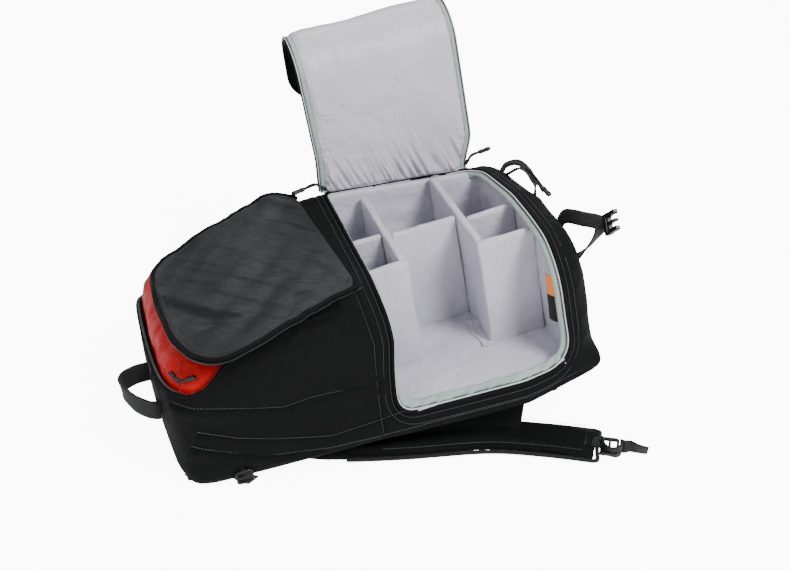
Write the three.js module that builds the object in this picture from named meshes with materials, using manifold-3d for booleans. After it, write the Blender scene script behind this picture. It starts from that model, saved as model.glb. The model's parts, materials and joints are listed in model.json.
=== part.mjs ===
// A camera backpack lying on its back with its padded lid standing open. Millimetres, +Z up.
// The pack is drawn in its own frame: x runs from its top end to its bottom end, y across it,
// z from the wearer's side to the front, and 0,0,0 is the middle of the camera cell's floor.
// That frame is then pitched, so that the pack rests on its top end and on its shoulder straps.
import * as THREE from 'three';
import { mergeVertices } from 'three/addons/utils/BufferGeometryUtils.js';
import Module from 'manifold-3d';

const wasm = await Module();
wasm.setup();

// Overall size of the pack
const PACK_LENGTH = 510;
const BACK_HALF_WIDTH = 164;
const FRONT_HALF_WIDTH = 140;
const PACK_DEPTH = 180;
const FRONT_CROWN = 2;
const BACK_CORNER = 14;
const NEAR_SHOULDER = { across: 66, rise: 72 };
const FAR_SHOULDER = { across: 15, rise: 15 };
const WALL_FLARE = 0.35;
const PITCH = THREE.MathUtils.degToRad(9.4);

// Walls and clearances
const SHELL_WALL = 3;
const FOAM_WALL = 10;
const FLOOR_PAD = 20.7;
const LINER_WALL = 2;
const GAP = 0.3;

// Camera cell and its opening
const CELL_LENGTH = 204;
const BOTTOM_END_DEPTH = 40;
const CELL_END_PAD = 20;
const OPENING_FAR_EDGE = 128;
const OPENING_SILL = 6;
const OPENING_CORNERS = { sillTop: 16, sillBottom: 32, farTop: 6, farBottom: 34 };
const OPENING_TAPE = { width: 9, thickness: 1.6, sunk: 0.6 };

// Padded dividers
const LONG_DIVIDER = { thickness: 9, height: 147, bevel: 1.5 };
const CROSS_DIVIDER = { thickness: 8, height: 144, bevel: 1.5 };
const LONG_DIVIDER_X = { left: -57, right: 35 };
const LONG_DIVIDER_NEAR_END = { left: -56, right: -64 };
const CROSS_DIVIDERS = [
  { name: 'divider_middle', between: ['left', 'right'], y: 14 },
  { name: 'divider_left_rear', between: ['wall', 'left'], y: 21 },
  { name: 'divider_left_front', between: ['wall', 'left'], y: -51 },
  { name: 'divider_right_rear', between: ['right', 'wall'], y: 3 },
  { name: 'divider_right_front', between: ['right', 'wall'], y: -59 },
];

// Lid of the camera cell: it stands up from its hinge and folds over backwards
const LID = {
  thickness: 8, liningThickness: 2.5, hingeOffset: 6, standing: 160, lean: 6,
  foldRadius: 38, foldAngle: THREE.MathUtils.degToRad(165), hanging: 78,
  left: -103, right: 98, hingeLeft: -100, hingeRight: 84, flareLength: 50, tipCorner: 44,
  tapeWidth: 9, tapeThickness: 1.4,
};

// Day compartment: how high its mouth's edge stands, as shares of length and depth
const DAY_MOUTH_EDGE = [
  { along: -0.06, height: 0.75 },
  { along: 0.01, height: 0.74 },
  { along: 0.035, height: 0.71 },
  { along: 0.067, height: 0.69 },
  { along: 0.105, height: 0.71 },
  { along: 0.157, height: 0.81 },
  { along: 0.208, height: 0.855 },
  { along: 0.27, height: 0.92 },
  { along: 0.33, height: 0.95 },
  { along: 0.43, height: 0.955 },
];
const LINER_MOUTH = { length: 140, halfWidth: 78, fromHinge: 28 };
const FLAP = {
  thickness: 3.5, lift: 4, liftRun: 70, clear: 1.6, binding: 2.6, flatTo: [-84, 112], hingeFar: -139,
  hingeNear: -121, hingeEnds: [-88, 128],
};

// Outline of the flap seen from the front, round its free edge from the far end of its hinge to the near end:
// how far out each point is, as a share of the way from the hinge to the pack's top end, and where it is across
const FLAP_OUTLINE = [
  { out: 0.126, y: 145 }, { out: 0.206, y: 157 }, { out: 0.296, y: 151 }, { out: 0.417, y: 134 },
  { out: 0.640, y: 112 }, { out: 0.806, y: 89 }, { out: 0.866, y: 63 }, { out: 0.879, y: 0 },
  { out: 0.858, y: -74 }, { out: 0.798, y: -122 }, { out: 0.729, y: -144 }, { out: 0.648, y: -151 },
  { out: 0.551, y: -146 }, { out: 0.348, y: -124 }, { out: 0.182, y: -106 },
];
const FLAP_MIDDLE = { out: 0.381, y: 15 };

// Straps and fittings
const HANDLE = { width: 25, thickness: 2.4, reach: 34, highRoot: -41, lowRoot: -85, height: 0.644, drop: 25 };
const STRAP = { width: 67, thickness: 15, corner: 6 };
const WEBBING = { width: 22, thickness: 1.8 };
const BUCKLE = { width: 25, length: 34, thickness: 5 };
const PULL = { cord: 1.3, grip: 3.6, gripLength: 17 };
const LID_PULLS = {
  right: { out: 3.5, above: 9, reach: 29.5, rise: 23.9 }, left: { out: 1.8, above: 6, reach: 43.2, rise: 18.9 },
  behind: 1, forward: 5,
};
const BOTTOM_PULL = { from: { x: 126, y: 92, above: 2.2 }, end: { out: 18, y: 2, up: 13.2 }, slack: [6, 0, 8] };
const DAY_PULL = { from: { out: 0.895, y: -96, above: 3.2 }, to: { out: 0.814, y: -108, above: 3.9 } };
// Middle line of the buckle's webbing: out from the bottom end, across, and up from the end face's front edge
const BUCKLE_RUN = [
  { out: 2.7, y: -30, up: 4.2 }, { out: 9, y: -40, up: 18.2 }, { out: 19, y: -72, up: 27.2 },
  { out: 26, y: -98, up: 34.2 }, { out: 26, y: -106, up: 32.2 }, { out: 17, y: -106, up: 19.2 },
  { out: 3.4, y: -102, up: -0.8 },
];
const BUCKLE_AT = { out: 27.3, y: -109.2, up: 34.4 };
// Middle line of the small webbing loop on the bottom end
const EDGE_LOOP = {
  width: 9, onPack: [{ x: 126, y: 112, above: 1.5 }, { x: 134, y: 113, above: 18 }],
  run: [
    { out: 5, y: 103, up: 26.2 }, { out: 11, y: 84, up: 20.2 }, { out: 10, y: 64, up: 11.2 },
    { out: 1.6, y: 48, up: -4.8 },
  ],
};
const RING = { length: 30, width: 20, bar: 3, thickness: 2.6, y: -66, height: 0.444 };
const LADDER_LOCK = { length: 22, width: 32, bar: 3, thickness: 4 };
const BACK_PAD = { thickness: 12, halfWidth: 112, from: -146, to: 40, bevel: 4 };
const LUMBAR_PAD = { thickness: 20, halfWidth: 104, from: 46, to: 122, bevel: 8 };
const HIP_WING = { thickness: 18, from: 36, to: 112, root: 100, reach: 145, corner: 7 };
const LABEL = { width: 12, thickness: 0.8, orangeTop: 107, orangeHeight: 28, blackHeight: 36, near: -118 };

// Middle line of the near shoulder strap over the floor, from under the pack to its free end
const STRAP_RUN = [
  { x: -272, y: -64 }, { x: -180, y: -102 }, { x: -105, y: -121 }, { x: -4, y: -139 }, { x: 61, y: -165 },
  { x: 120, y: -196 },
];
const FAR_STRAP_SPLAY = 0.94;

// Values worked out from the sizes above
const bottomEndX = CELL_LENGTH / 2 + BOTTOM_END_DEPTH;
const topEndX = bottomEndX - PACK_LENGTH;
const backZ = -(FLOOR_PAD + GAP + SHELL_WALL);
const cellEnd = CELL_LENGTH / 2;
const linerInset = SHELL_WALL + GAP;
const cellInset = linerInset + FOAM_WALL;

// The pack's cross-sections: half widths at the back and at the front's near and far shoulders,
// height of the front, how far it falls towards the far side, and how far the back lifts off
const SECTIONS = [
  { along: 0.0, back: 0.62, near: 0.62, far: 0.48, top: 0.62, fall: 0, lift: 0.11 },
  { along: 0.01, back: 0.74, near: 0.8, far: 0.62, top: 0.76, fall: 0, lift: 0.04 },
  { along: 0.03, back: 0.8, near: 0.89, far: 0.74, top: 0.85, fall: 0, lift: 0.01 },
  { along: 0.07, back: 0.83, near: 0.94, far: 0.84, top: 0.93, fall: -0.01, lift: 0 },
  { along: 0.2, back: 0.87, near: 0.95, far: 0.94, top: 0.965, fall: -0.02, lift: 0 },
  { along: 0.45, back: 0.93, near: 0.9, far: 0.97, top: 0.98, fall: -0.045, lift: 0 },
  { along: 0.523, back: 0.96, near: 0.89, far: 0.97, top: 0.985, fall: -0.045, lift: 0 },
  { along: 0.64, back: 1.0, near: 0.92, far: 0.97, top: 0.99, fall: 0, lift: 0 },
  { along: 0.795, back: 1.04, near: 0.97, far: 0.97, top: 1.0, fall: 0.06, lift: 0 },
  { along: 0.924, back: 0.94, near: 1.0, far: 0.97, top: 1.0, fall: 0.11, lift: 0 },
  { along: 0.96, back: 0.86, near: 0.97, far: 0.93, top: 0.96, fall: 0.11, lift: 0 },
  { along: 0.984, back: 0.78, near: 0.9, far: 0.86, top: 0.91, fall: 0.1, lift: 0.05 },
  { along: 0.995, back: 0.71, near: 0.82, far: 0.76, top: 0.86, fall: 0.09, lift: 0.14 },
  { along: 1.0, back: 0.6, near: 0.68, far: 0.62, top: 0.76, fall: 0.06, lift: 0.26 },
];

// Colours and finishes
const cloth = (color, roughness = 0.85) => new THREE.MeshStandardMaterial({ color, roughness, metalness: 0 });
const BLACK_NYLON = cloth('#151617', 0.8);
const COATED_NYLON = cloth('#3a3c40', 0.45);
const GREY_LINING = cloth('#c9c7d2', 0.55);
const SAGE_TAPE = cloth('#a9b8b6', 0.7);
const RED_LINING = cloth('#e01010', 0.5);
const BLACK_WEBBING = cloth('#111213', 0.75);
const BLACK_PLASTIC = cloth('#0d0e0f', 0.4);
const ORANGE_LABEL = cloth('#f0883a', 0.6);

const mix = THREE.MathUtils.lerp;
const clamp = THREE.MathUtils.clamp;
const packX = (along, inset = 0) => topEndX + inset + along * (PACK_LENGTH - 2 * inset);
const packShare = (x, inset = 0) => (x - topEndX - inset) / (PACK_LENGTH - 2 * inset);
const packZ = (share) => backZ + PACK_DEPTH * share;

// Places along the pack where every arch-shaped body has a section
const STATIONS = [
  ...SECTIONS.map((row) => row.along), packShare(-cellEnd - FOAM_WALL), packShare(-cellEnd), packShare(-55),
  packShare(cellEnd), packShare(cellEnd + CELL_END_PAD),
].sort((a, b) => a - b);

// Linear reading of a table of shares at a place along the pack
function readTable(rows, along, keys) {
  const last = rows.length - 1;
  let i = rows.findIndex((row) => row.along > along) - 1;
  if (i < 0) i = along < rows[0].along ? 0 : last - 1;
  const t = clamp((along - rows[i].along) / (rows[i + 1].along - rows[i].along), 0, 1);
  return Object.fromEntries(keys.map((key) => [key, mix(rows[i][key], rows[i + 1][key], t)]));
}

// The arch-shaped section at x, taken in from the outside by an inset all round and by another at the back
function archAt(x, inset = 0, backInset = inset) {
  const share = readTable(SECTIONS, packShare(x, inset), ['back', 'near', 'far', 'top', 'fall', 'lift']);
  return {
    backHalf: BACK_HALF_WIDTH * share.back - inset,
    near: FRONT_HALF_WIDTH * share.near - inset,
    far: FRONT_HALF_WIDTH * share.far - inset,
    back: backZ + PACK_DEPTH * share.lift + backInset,
    top: backZ + PACK_DEPTH * share.top - inset,
    fall: PACK_DEPTH * share.fall,
    shrink: share.near,
    inset,
  };
}

function shoulderOf(arch, side) {
  const size = side < 0 ? NEAR_SHOULDER : FAR_SHOULDER;
  return {
    across: Math.max(size.across * arch.shrink - arch.inset, 4),
    rise: Math.max(size.rise * arch.shrink - arch.inset, 4),
  };
}

// Height of the front at a share of its flat part, out from the middle towards a side
function flatHeight(arch, side, share) {
  return arch.top + FRONT_CROWN * (1 - share * share) - (side > 0 ? arch.fall * share : 0);
}

// Half of an arch, from the middle of the back round one side to the middle of the front
function halfArch(arch, side) {
  const { backHalf, back } = arch;
  const frontHalf = side < 0 ? arch.near : arch.far;
  const top = flatHeight(arch, side, 1);
  const { across, rise } = shoulderOf(arch, side);
  const corner = Math.max(BACK_CORNER - arch.inset, 3);
  const points = [[0.55 * (backHalf - corner), back]];
  for (const turn of [0, 30, 60, 90]) {
    const a = THREE.MathUtils.degToRad(turn);
    points.push([backHalf - corner + corner * Math.sin(a), back + corner - corner * Math.cos(a)]);
  }
  points.push([mix(frontHalf, backHalf, WALL_FLARE), (back + corner + top - rise) / 2]);
  for (const turn of [0, 18, 36, 54, 72, 90]) {
    const a = THREE.MathUtils.degToRad(turn);
    points.push([frontHalf - across + across * Math.cos(a), top - rise + rise * Math.sin(a)]);
  }
  for (const share of [0.66, 0.33]) {
    points.push([share * (frontHalf - across), flatHeight(arch, side, share)]);
  }
  return points.map(([y, z]) => [side * y, z]);
}

function archRing(x, arch) {
  const near = halfArch(arch, -1);
  const far = halfArch(arch, 1).reverse();
  const ring = [[0, arch.back], ...near, [0, arch.top + FRONT_CROWN], ...far];
  return ring.map(([y, z]) => new THREE.Vector3(x, y, z));
}

// Height of the pack's outside over a point of its front
function frontHeight(x, y) {
  const arch = archAt(x);
  const side = Math.sign(y) || 1;
  const { across, rise } = shoulderOf(arch, side);
  const flat = (side < 0 ? arch.near : arch.far) - across;
  const out = Math.abs(y);
  if (out <= flat) return flatHeight(arch, side, out / flat);
  const t = clamp((out - flat) / across, 0, 1);
  return flatHeight(arch, side, 1) - rise + rise * Math.sqrt(1 - t * t);
}

// A closed mesh through rings of as many points each, with a fan over each end unless it closes on itself
function loft(rings, closed = false) {
  const count = rings[0].length;
  const position = rings.flat().flatMap((p) => [p.x, p.y, p.z]);
  const index = [];
  const spans = closed ? rings.length : rings.length - 1;
  for (let i = 0; i < spans; i++) {
    const a = i * count;
    const b = ((i + 1) % rings.length) * count;
    for (let j = 0; j < count; j++) {
      const k = (j + 1) % count;
      index.push(a + j, b + j, b + k, a + j, b + k, a + k);
    }
  }
  if (!closed) {
    for (const [ring, start, turned] of [[rings[0], 0, true], [rings.at(-1), (rings.length - 1) * count, false]]) {
      const middle = ring.reduce((sum, p) => sum.add(p), new THREE.Vector3()).divideScalar(count);
      const hub = position.length / 3;
      position.push(middle.x, middle.y, middle.z);
      for (let j = 0; j < count; j++) {
        const k = (j + 1) % count;
        if (turned) index.push(hub, start + j, start + k);
        else index.push(hub, start + k, start + j);
      }
    }
  }
  const geometry = new THREE.BufferGeometry();
  geometry.setAttribute('position', new THREE.Float32BufferAttribute(position, 3));
  geometry.setIndex(index);
  return outward(geometry);
}

// Turns a closed mesh's faces so that they point out
function outward(geometry) {
  const p = geometry.getAttribute('position');
  const index = geometry.getIndex();
  const [a, b, c] = [new THREE.Vector3(), new THREE.Vector3(), new THREE.Vector3()];
  let volume = 0;
  for (let i = 0; i < index.count; i += 3) {
    a.fromBufferAttribute(p, index.getX(i));
    b.fromBufferAttribute(p, index.getX(i + 1));
    c.fromBufferAttribute(p, index.getX(i + 2));
    volume += a.dot(b.cross(c));
  }
  if (volume < 0) {
    for (let i = 0; i < index.count; i += 3) {
      const second = index.getX(i + 1);
      index.setX(i + 1, index.getX(i + 2));
      index.setX(i + 2, second);
    }
  }
  return geometry;
}

function bare(geometry) {
  const plain = geometry.clone();
  plain.deleteAttribute('normal');
  plain.deleteAttribute('uv');
  return outward(mergeVertices(plain, 1e-4));
}

function solid(geometry) {
  const g = bare(geometry);
  const mesh = new wasm.Mesh({
    numProp: 3,
    vertProperties: new Float32Array(g.getAttribute('position').array),
    triVerts: new Uint32Array(g.getIndex().array),
  });
  return new wasm.Manifold(mesh);
}

function geometryOf(body) {
  const mesh = body.getMesh();
  const geometry = new THREE.BufferGeometry();
  geometry.setAttribute('position', new THREE.Float32BufferAttribute(mesh.vertProperties, 3));
  geometry.setIndex(Array.from(mesh.triVerts));
  return geometry;
}

function node(name, geometry, material) {
  const mesh = new THREE.Mesh(geometry, material);
  mesh.name = name;
  return mesh;
}

// An arch-shaped body between two places along the pack
function archBody(fromX, toX, inset, backInset = inset) {
  const places = STATIONS.map((along) => packX(along, inset)).filter((x) => x > fromX + 0.8 && x < toX - 0.8);
  return loft([fromX, ...places, toX].map((x) => archRing(x, archAt(x, inset, backInset))));
}

// A rectangle with its own radius at each corner, from the low-low corner anticlockwise
function roundedRectangle(x0, y0, x1, y1, [r0, r1, r2, r3]) {
  const shape = new THREE.Shape();
  shape.moveTo(x0 + r0, y0);
  shape.lineTo(x1 - r1, y0);
  shape.absarc(x1 - r1, y0 + r1, r1, -Math.PI / 2, 0);
  shape.lineTo(x1, y1 - r2);
  shape.absarc(x1 - r2, y1 - r2, r2, 0, Math.PI / 2);
  shape.lineTo(x0 + r3, y1);
  shape.absarc(x0 + r3, y1 - r3, r3, Math.PI / 2, Math.PI);
  shape.lineTo(x0, y0 + r0);
  shape.absarc(x0 + r0, y0 + r0, r0, Math.PI, Math.PI * 1.5);
  return shape;
}

// The camera opening seen from the front, cut by the same opening seen from the side
function openingCutter(shrink, farShrink = shrink) {
  const reach = 3 * PACK_DEPTH;
  const half = cellEnd - shrink;
  const { sillTop, sillBottom, farTop, farBottom } = OPENING_CORNERS;
  const round = (r) => Math.max(r - shrink, 1);
  const fromFront = new THREE.ExtrudeGeometry(
    roundedRectangle(-half, -reach, half, OPENING_FAR_EDGE - farShrink, [1, 1, round(farBottom), round(farTop)]),
    { depth: reach, bevelEnabled: false, curveSegments: 5 },
  );
  const fromSide = new THREE.ExtrudeGeometry(
    roundedRectangle(-half, OPENING_SILL + shrink, half, reach, [round(sillTop), round(sillBottom), 1, 1]),
    { depth: 2 * reach, bevelEnabled: false, curveSegments: 5 },
  );
  fromSide.rotateX(Math.PI / 2).translate(0, reach, 0);
  return solid(fromFront).intersect(solid(fromSide));
}

// The day compartment's mouth: everything in front of its zip line
function dayMouthCutter(reach = PACK_LENGTH) {
  const shape = new THREE.Shape();
  DAY_MOUTH_EDGE.forEach((row, i) => {
    const x = packX(row.along);
    const z = backZ + PACK_DEPTH * row.height;
    if (i) shape.lineTo(x, z);
    else shape.moveTo(x, z);
  });
  shape.lineTo(packX(DAY_MOUTH_EDGE.at(-1).along), reach);
  shape.lineTo(packX(DAY_MOUTH_EDGE[0].along), reach);
  const prism = new THREE.ExtrudeGeometry(shape, { depth: 2 * reach, bevelEnabled: false });
  return solid(prism.rotateX(Math.PI / 2).translate(0, reach, 0));
}

function shell() {
  const outside = solid(archBody(topEndX, bottomEndX, 0));
  const inside = solid(archBody(topEndX + SHELL_WALL, bottomEndX - SHELL_WALL, SHELL_WALL));
  return geometryOf(outside.subtract(inside).subtract(openingCutter(0)).subtract(dayMouthCutter()));
}

// Grey padded tub of the camera cell
function cellLiner() {
  const outside = solid(archBody(-cellEnd - FOAM_WALL, cellEnd + CELL_END_PAD, linerInset));
  const inside = solid(archBody(-cellEnd, cellEnd, cellInset, SHELL_WALL + GAP + FLOOR_PAD));
  return geometryOf(outside.subtract(inside).subtract(openingCutter(0)));
}

// Red bag inside the day compartment, open on top under the flap
function dayLiner() {
  const fromX = topEndX + linerInset;
  const toX = -cellEnd - FOAM_WALL - GAP;
  const outside = solid(archBody(fromX, toX, linerInset));
  const inside = solid(archBody(fromX + LINER_WALL, toX - LINER_WALL, linerInset + LINER_WALL));
  const mouthEnd = FLAP.hingeNear - LINER_MOUTH.fromHinge;
  const mouth = new THREE.ExtrudeGeometry(
    roundedRectangle(mouthEnd - LINER_MOUTH.length, -LINER_MOUTH.halfWidth, mouthEnd, LINER_MOUTH.halfWidth,
      [20, 20, 20, 20]),
    { depth: PACK_DEPTH, bevelEnabled: false, curveSegments: 3 },
  );
  mouth.translate(0, 0, PACK_DEPTH / 2);
  return geometryOf(outside.subtract(inside).subtract(solid(mouth)));
}

// Zip tape sewn round the opening's left, near and right edges
function openingTape() {
  const { width, thickness, sunk } = OPENING_TAPE;
  const skin = solid(archBody(topEndX + sunk, bottomEndX - sunk, sunk))
    .subtract(solid(archBody(topEndX + sunk + thickness, bottomEndX - sunk - thickness, sunk + thickness)));
  const band = openingCutter(GAP).subtract(openingCutter(GAP + width, GAP - width));
  return geometryOf(skin.intersect(band));
}

// Half width of the camera cell between its padded walls at a height over its floor
function cellHalfWidth(z) {
  const arch = archAt(0, cellInset, SHELL_WALL + GAP + FLOOR_PAD);
  const { rise } = shoulderOf(arch, 1);
  const corner = Math.max(BACK_CORNER - arch.inset, 3);
  const t = clamp((z - arch.back - corner) / (arch.top - rise - arch.back - corner), 0, 1);
  const waist = mix(arch.far, arch.backHalf, WALL_FLARE);
  return t < 0.5 ? mix(arch.backHalf, waist, 2 * t) : mix(waist, arch.far, 2 * t - 1);
}

function slab(shape, thickness, bevel) {
  return new THREE.ExtrudeGeometry(shape, {
    depth: thickness - 2 * bevel, bevelEnabled: true, bevelThickness: bevel, bevelSize: bevel,
    bevelOffset: -bevel, bevelSegments: 1, curveSegments: 2,
  }).translate(0, 0, bevel);
}

// A divider across the pack, from its near end to the far wall, whose slope it follows
function longDivider(side) {
  const { thickness, height, bevel } = LONG_DIVIDER;
  const foot = GAP;
  const wallSlack = 6;
  const shape = new THREE.Shape();
  shape.moveTo(LONG_DIVIDER_NEAR_END[side], foot);
  for (const share of [0.02, 0.15, 0.3, 0.6]) {
    shape.lineTo(cellHalfWidth(share * height) - wallSlack, Math.max(share * height, foot));
  }
  shape.lineTo(cellHalfWidth(height) - wallSlack, height);
  shape.lineTo(LONG_DIVIDER_NEAR_END[side], height);
  const geometry = slab(shape, thickness, bevel);
  return geometry.rotateX(Math.PI / 2).rotateZ(Math.PI / 2).translate(LONG_DIVIDER_X[side] - thickness / 2, 0, 0);
}

function crossDivider({ between: [left, right], y }) {
  const { thickness, height, bevel } = CROSS_DIVIDER;
  const half = LONG_DIVIDER.thickness / 2;
  const from = left === 'wall' ? -cellEnd : LONG_DIVIDER_X[left] + half;
  const to = right === 'wall' ? cellEnd : LONG_DIVIDER_X[right] - half;
  const shape = roundedRectangle(from + GAP, GAP, to - GAP, height, [3, 3, 4, 4]);
  return slab(shape, thickness, bevel).rotateX(Math.PI / 2).translate(0, y + thickness / 2, 0);
}

// The lid's run in the plane across the pack: where it is and which way its lining faces
function lidPlace(s) {
  const { standing, lean, foldRadius, foldAngle, hingeOffset } = LID;
  const tilt = Math.atan2(lean, standing);
  const start = new THREE.Vector2(OPENING_FAR_EDGE + hingeOffset, hingeHeight(0));
  const heading = (angle) => new THREE.Vector2(Math.sin(angle), Math.cos(angle));
  const fold = foldRadius * foldAngle;
  const upright = Math.min(s, standing);
  const point = start.clone().addScaledVector(heading(tilt), upright);
  const turned = clamp((s - standing) / fold, 0, 1) * foldAngle;
  const centre = point.clone().add(new THREE.Vector2(Math.cos(tilt), -Math.sin(tilt)).multiplyScalar(foldRadius));
  const angle = tilt + turned;
  if (turned > 0) {
    point.copy(centre).add(new THREE.Vector2(-Math.cos(angle), Math.sin(angle)).multiplyScalar(foldRadius));
    point.addScaledVector(heading(angle), Math.max(s - standing - fold, 0));
  }
  return { point, facing: new THREE.Vector2(-Math.cos(angle), Math.sin(angle)) };
}

// Height of the lid's hinge line over the pack's far edge, and how much of its slope a place up the lid keeps
const hingeHeight = (x) => frontHeight(x, OPENING_FAR_EDGE) + 1.1;
const hingeSlope = (x, s) => (hingeHeight(x) - hingeHeight(0)) * (1 - THREE.MathUtils.smoothstep(s, 0, LID.standing));

// A layer of the lid, from its lining side inwards, taken in from the lid's outline
function lidLayer(edge, fromDepth, toDepth) {
  const { standing, foldRadius, foldAngle, hanging, left, right, hingeLeft, hingeRight, flareLength, tipCorner } = LID;
  const total = standing + foldRadius * foldAngle + hanging;
  const straight = [0, 0.12, 0.3, 0.6, 1].map((t) => t * standing);
  const folded = [0.125, 0.25, 0.375, 0.5, 0.625, 0.75, 0.875, 1].map((t) => standing + t * foldRadius * foldAngle);
  const tip = [0, 30, 50, 65, 80, 90].map((a) => total - tipCorner + tipCorner * Math.sin(THREE.MathUtils.degToRad(a)));
  const stations = [...straight, ...folded, ...tip].map((s) => clamp(s, edge, total - edge));
  const unique = [...new Set(stations)].sort((a, b) => a - b);
  const rings = unique.map((s) => {
    const { point, facing } = lidPlace(s);
    const flare = THREE.MathUtils.smoothstep(s, -1, flareLength);
    const intoTip = clamp(s + edge - (total - tipCorner), 0, tipCorner);
    const tuck = tipCorner - Math.sqrt(Math.max(tipCorner ** 2 - intoTip ** 2, 0));
    const x0 = mix(hingeLeft, left, flare) + edge + Math.min(tuck, tipCorner - 3);
    const x1 = mix(hingeRight, right, flare) - edge - Math.min(tuck, tipCorner - 3);
    const near = point.clone().addScaledVector(facing, -fromDepth);
    const far = point.clone().addScaledVector(facing, -toDepth);
    const corners = [[x0, near], [x1, near], [x1, far], [x0, far]];
    return corners.map(([x, p]) => new THREE.Vector3(x, p.x, p.y + hingeSlope(x, s)));
  });
  return loft(rings);
}

function lid() {
  const { thickness, liningThickness, tapeWidth, tapeThickness } = LID;
  const half = thickness / 2;
  const tape = solid(lidLayer(0, -half - GAP - tapeThickness, -half - GAP))
    .subtract(solid(lidLayer(tapeWidth, -half - GAP - 2 * tapeThickness, -half)));
  const group = new THREE.Group();
  group.add(
    node('lid_panel', lidLayer(0, -half, half), BLACK_NYLON),
    node('lid_tape', geometryOf(tape), SAGE_TAPE),
    node('lid_lining', lidLayer(tapeWidth + GAP, -half - GAP - liningThickness, -half - GAP), GREY_LINING),
  );
  return group;
}

// How far along the pack a share of the way from the flap's hinge to the top end is
const flapX = (out) => mix(FLAP.hingeNear, topEndX, out);

// Outline of the day flap seen from the front, from the far end of its hinge round to the near end
function flapOutline() {
  const { hingeFar, hingeNear, hingeEnds: [nearEnd, farEnd] } = FLAP;
  const corners = [[hingeFar, farEnd], ...FLAP_OUTLINE.map(({ out, y }) => [flapX(out), y]), [hingeNear, nearEnd]];
  for (const t of [0.2, 0.4, 0.6, 0.8]) corners.push([mix(hingeNear, hingeFar, t), mix(nearEnd, farEnd, t)]);
  return corners.map(([x, y]) => new THREE.Vector2(x, y));
}

// Height of the flap's underside: on the pack at its hinge, and lifted by the full bag further out
function flapHeight(x, y) {
  const { flatTo, lift, liftRun, clear, hingeNear } = FLAP;
  const away = clamp((hingeNear - x) / liftRun, 0, 1);
  const overX = clamp(x, packX(0.09), hingeNear + 2);
  return frontHeight(overX, clamp(y, ...flatTo)) + clear + lift * away * (2 - away);
}

function dayFlap() {
  const outline = flapOutline();
  const middle = new THREE.Vector2(flapX(FLAP_MIDDLE.out), FLAP_MIDDLE.y);
  const ringAt = (share, raise) => outline.map((p) => {
    const q = middle.clone().lerp(p, share);
    return new THREE.Vector3(q.x, q.y, flapHeight(q.x, q.y) + raise);
  });
  const { thickness } = FLAP;
  const shares = [0.35, 0.7, 0.92, 1];
  const under = shares.map((share) => ringAt(share, 0));
  const over = [...shares].reverse().map((share) => ringAt(share, thickness));
  return loft([...under, ...over]);
}

// A tube along a path, with a round section of a few sides
function tube(path, radius, sides = 6, steps = path.length * 2, closed = false) {
  const curve = new THREE.CatmullRomCurve3(path, closed, 'centripetal');
  const frames = curve.computeFrenetFrames(steps, closed);
  const rings = [];
  for (let i = 0; i < steps + (closed ? 0 : 1); i++) {
    const centre = curve.getPointAt(i / steps);
    rings.push(Array.from({ length: sides }, (_, j) => {
      const a = (2 * Math.PI * j) / sides;
      return centre.clone()
        .addScaledVector(frames.normals[i], radius * Math.cos(a))
        .addScaledVector(frames.binormals[i], radius * Math.sin(a));
    }));
  }
  return loft(rings, closed);
}

function flapBinding() {
  const rise = FLAP.thickness / 2;
  const middle = new THREE.Vector2(flapX(FLAP_MIDDLE.out), FLAP_MIDDLE.y);
  const clear = FLAP.binding + GAP + 2.2;
  const path = flapOutline().slice(0, 17).map((p) => {
    const away = p.clone().sub(middle).normalize().multiplyScalar(clear);
    return new THREE.Vector3(p.x + Math.min(away.x, 0), p.y + away.y, flapHeight(p.x, p.y) + rise);
  });
  return tube(path, FLAP.binding, 6, 40);
}

// A flat strap along a path, with the direction of its width given at each point
function ribbon(path, across, width, thickness, steps = 16) {
  const curve = new THREE.CatmullRomCurve3(path.map((p) => new THREE.Vector3(...p)), false, 'centripetal');
  const sides = across.map((p) => new THREE.Vector3(...p).normalize());
  const rings = [];
  for (let i = 0; i <= steps; i++) {
    const t = i / steps;
    const centre = curve.getPoint(t);
    const tangent = curve.getTangent(t);
    const place = t * (sides.length - 1);
    const k = Math.min(Math.floor(place), sides.length - 2);
    const side = sides[k].clone().lerp(sides[k + 1], place - k);
    side.addScaledVector(tangent, -side.dot(tangent)).normalize();
    const out = new THREE.Vector3().crossVectors(tangent, side);
    rings.push([[-1, -1], [1, -1], [1, 1], [-1, 1]].map(([a, b]) => centre.clone()
      .addScaledVector(side, (a * width) / 2)
      .addScaledVector(out, (b * thickness) / 2)));
  }
  return loft(rings);
}

// The webbing loop at the top end that the pack is lifted by
function haulHandle() {
  const { width, thickness, reach, highRoot, lowRoot, height, drop } = HANDLE;
  const root = topEndX - 2 * GAP;
  const high = packZ(height);
  // Shares of the handle's reach, of the way from its high root to its low one, and of its drop
  const run = [
    [0, 0, 0], [0.15, 0, -0.02], [0.5, 0.05, -0.08], [0.9, 0.2, -0.08], [1, 0.43, 0.08], [0.75, 0.75, 0.48],
    [0.4, 0.93, 0.84], [0.15, 1, 0.96], [0, 1, 1],
  ];
  const path = run.map(([out, across, down]) => [root - out * reach, mix(highRoot, lowRoot, across), high - down * drop]);
  return ribbon(path, [[0, 0, 1], [0, 0, 1]], width, thickness, 20);
}

// A strap ring with one slot
function ringFitting() {
  const { length, width, bar, thickness } = RING;
  const outer = roundedRectangle(-length / 2, -width / 2, length / 2, width / 2, [3, 3, 3, 3]);
  outer.holes.push(roundedRectangle(bar - length / 2, bar - width / 2, length / 2 - bar, width / 2 - bar, [1, 1, 1, 1]));
  return new THREE.ExtrudeGeometry(outer, { depth: thickness, bevelEnabled: false, curveSegments: 2 });
}

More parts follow.
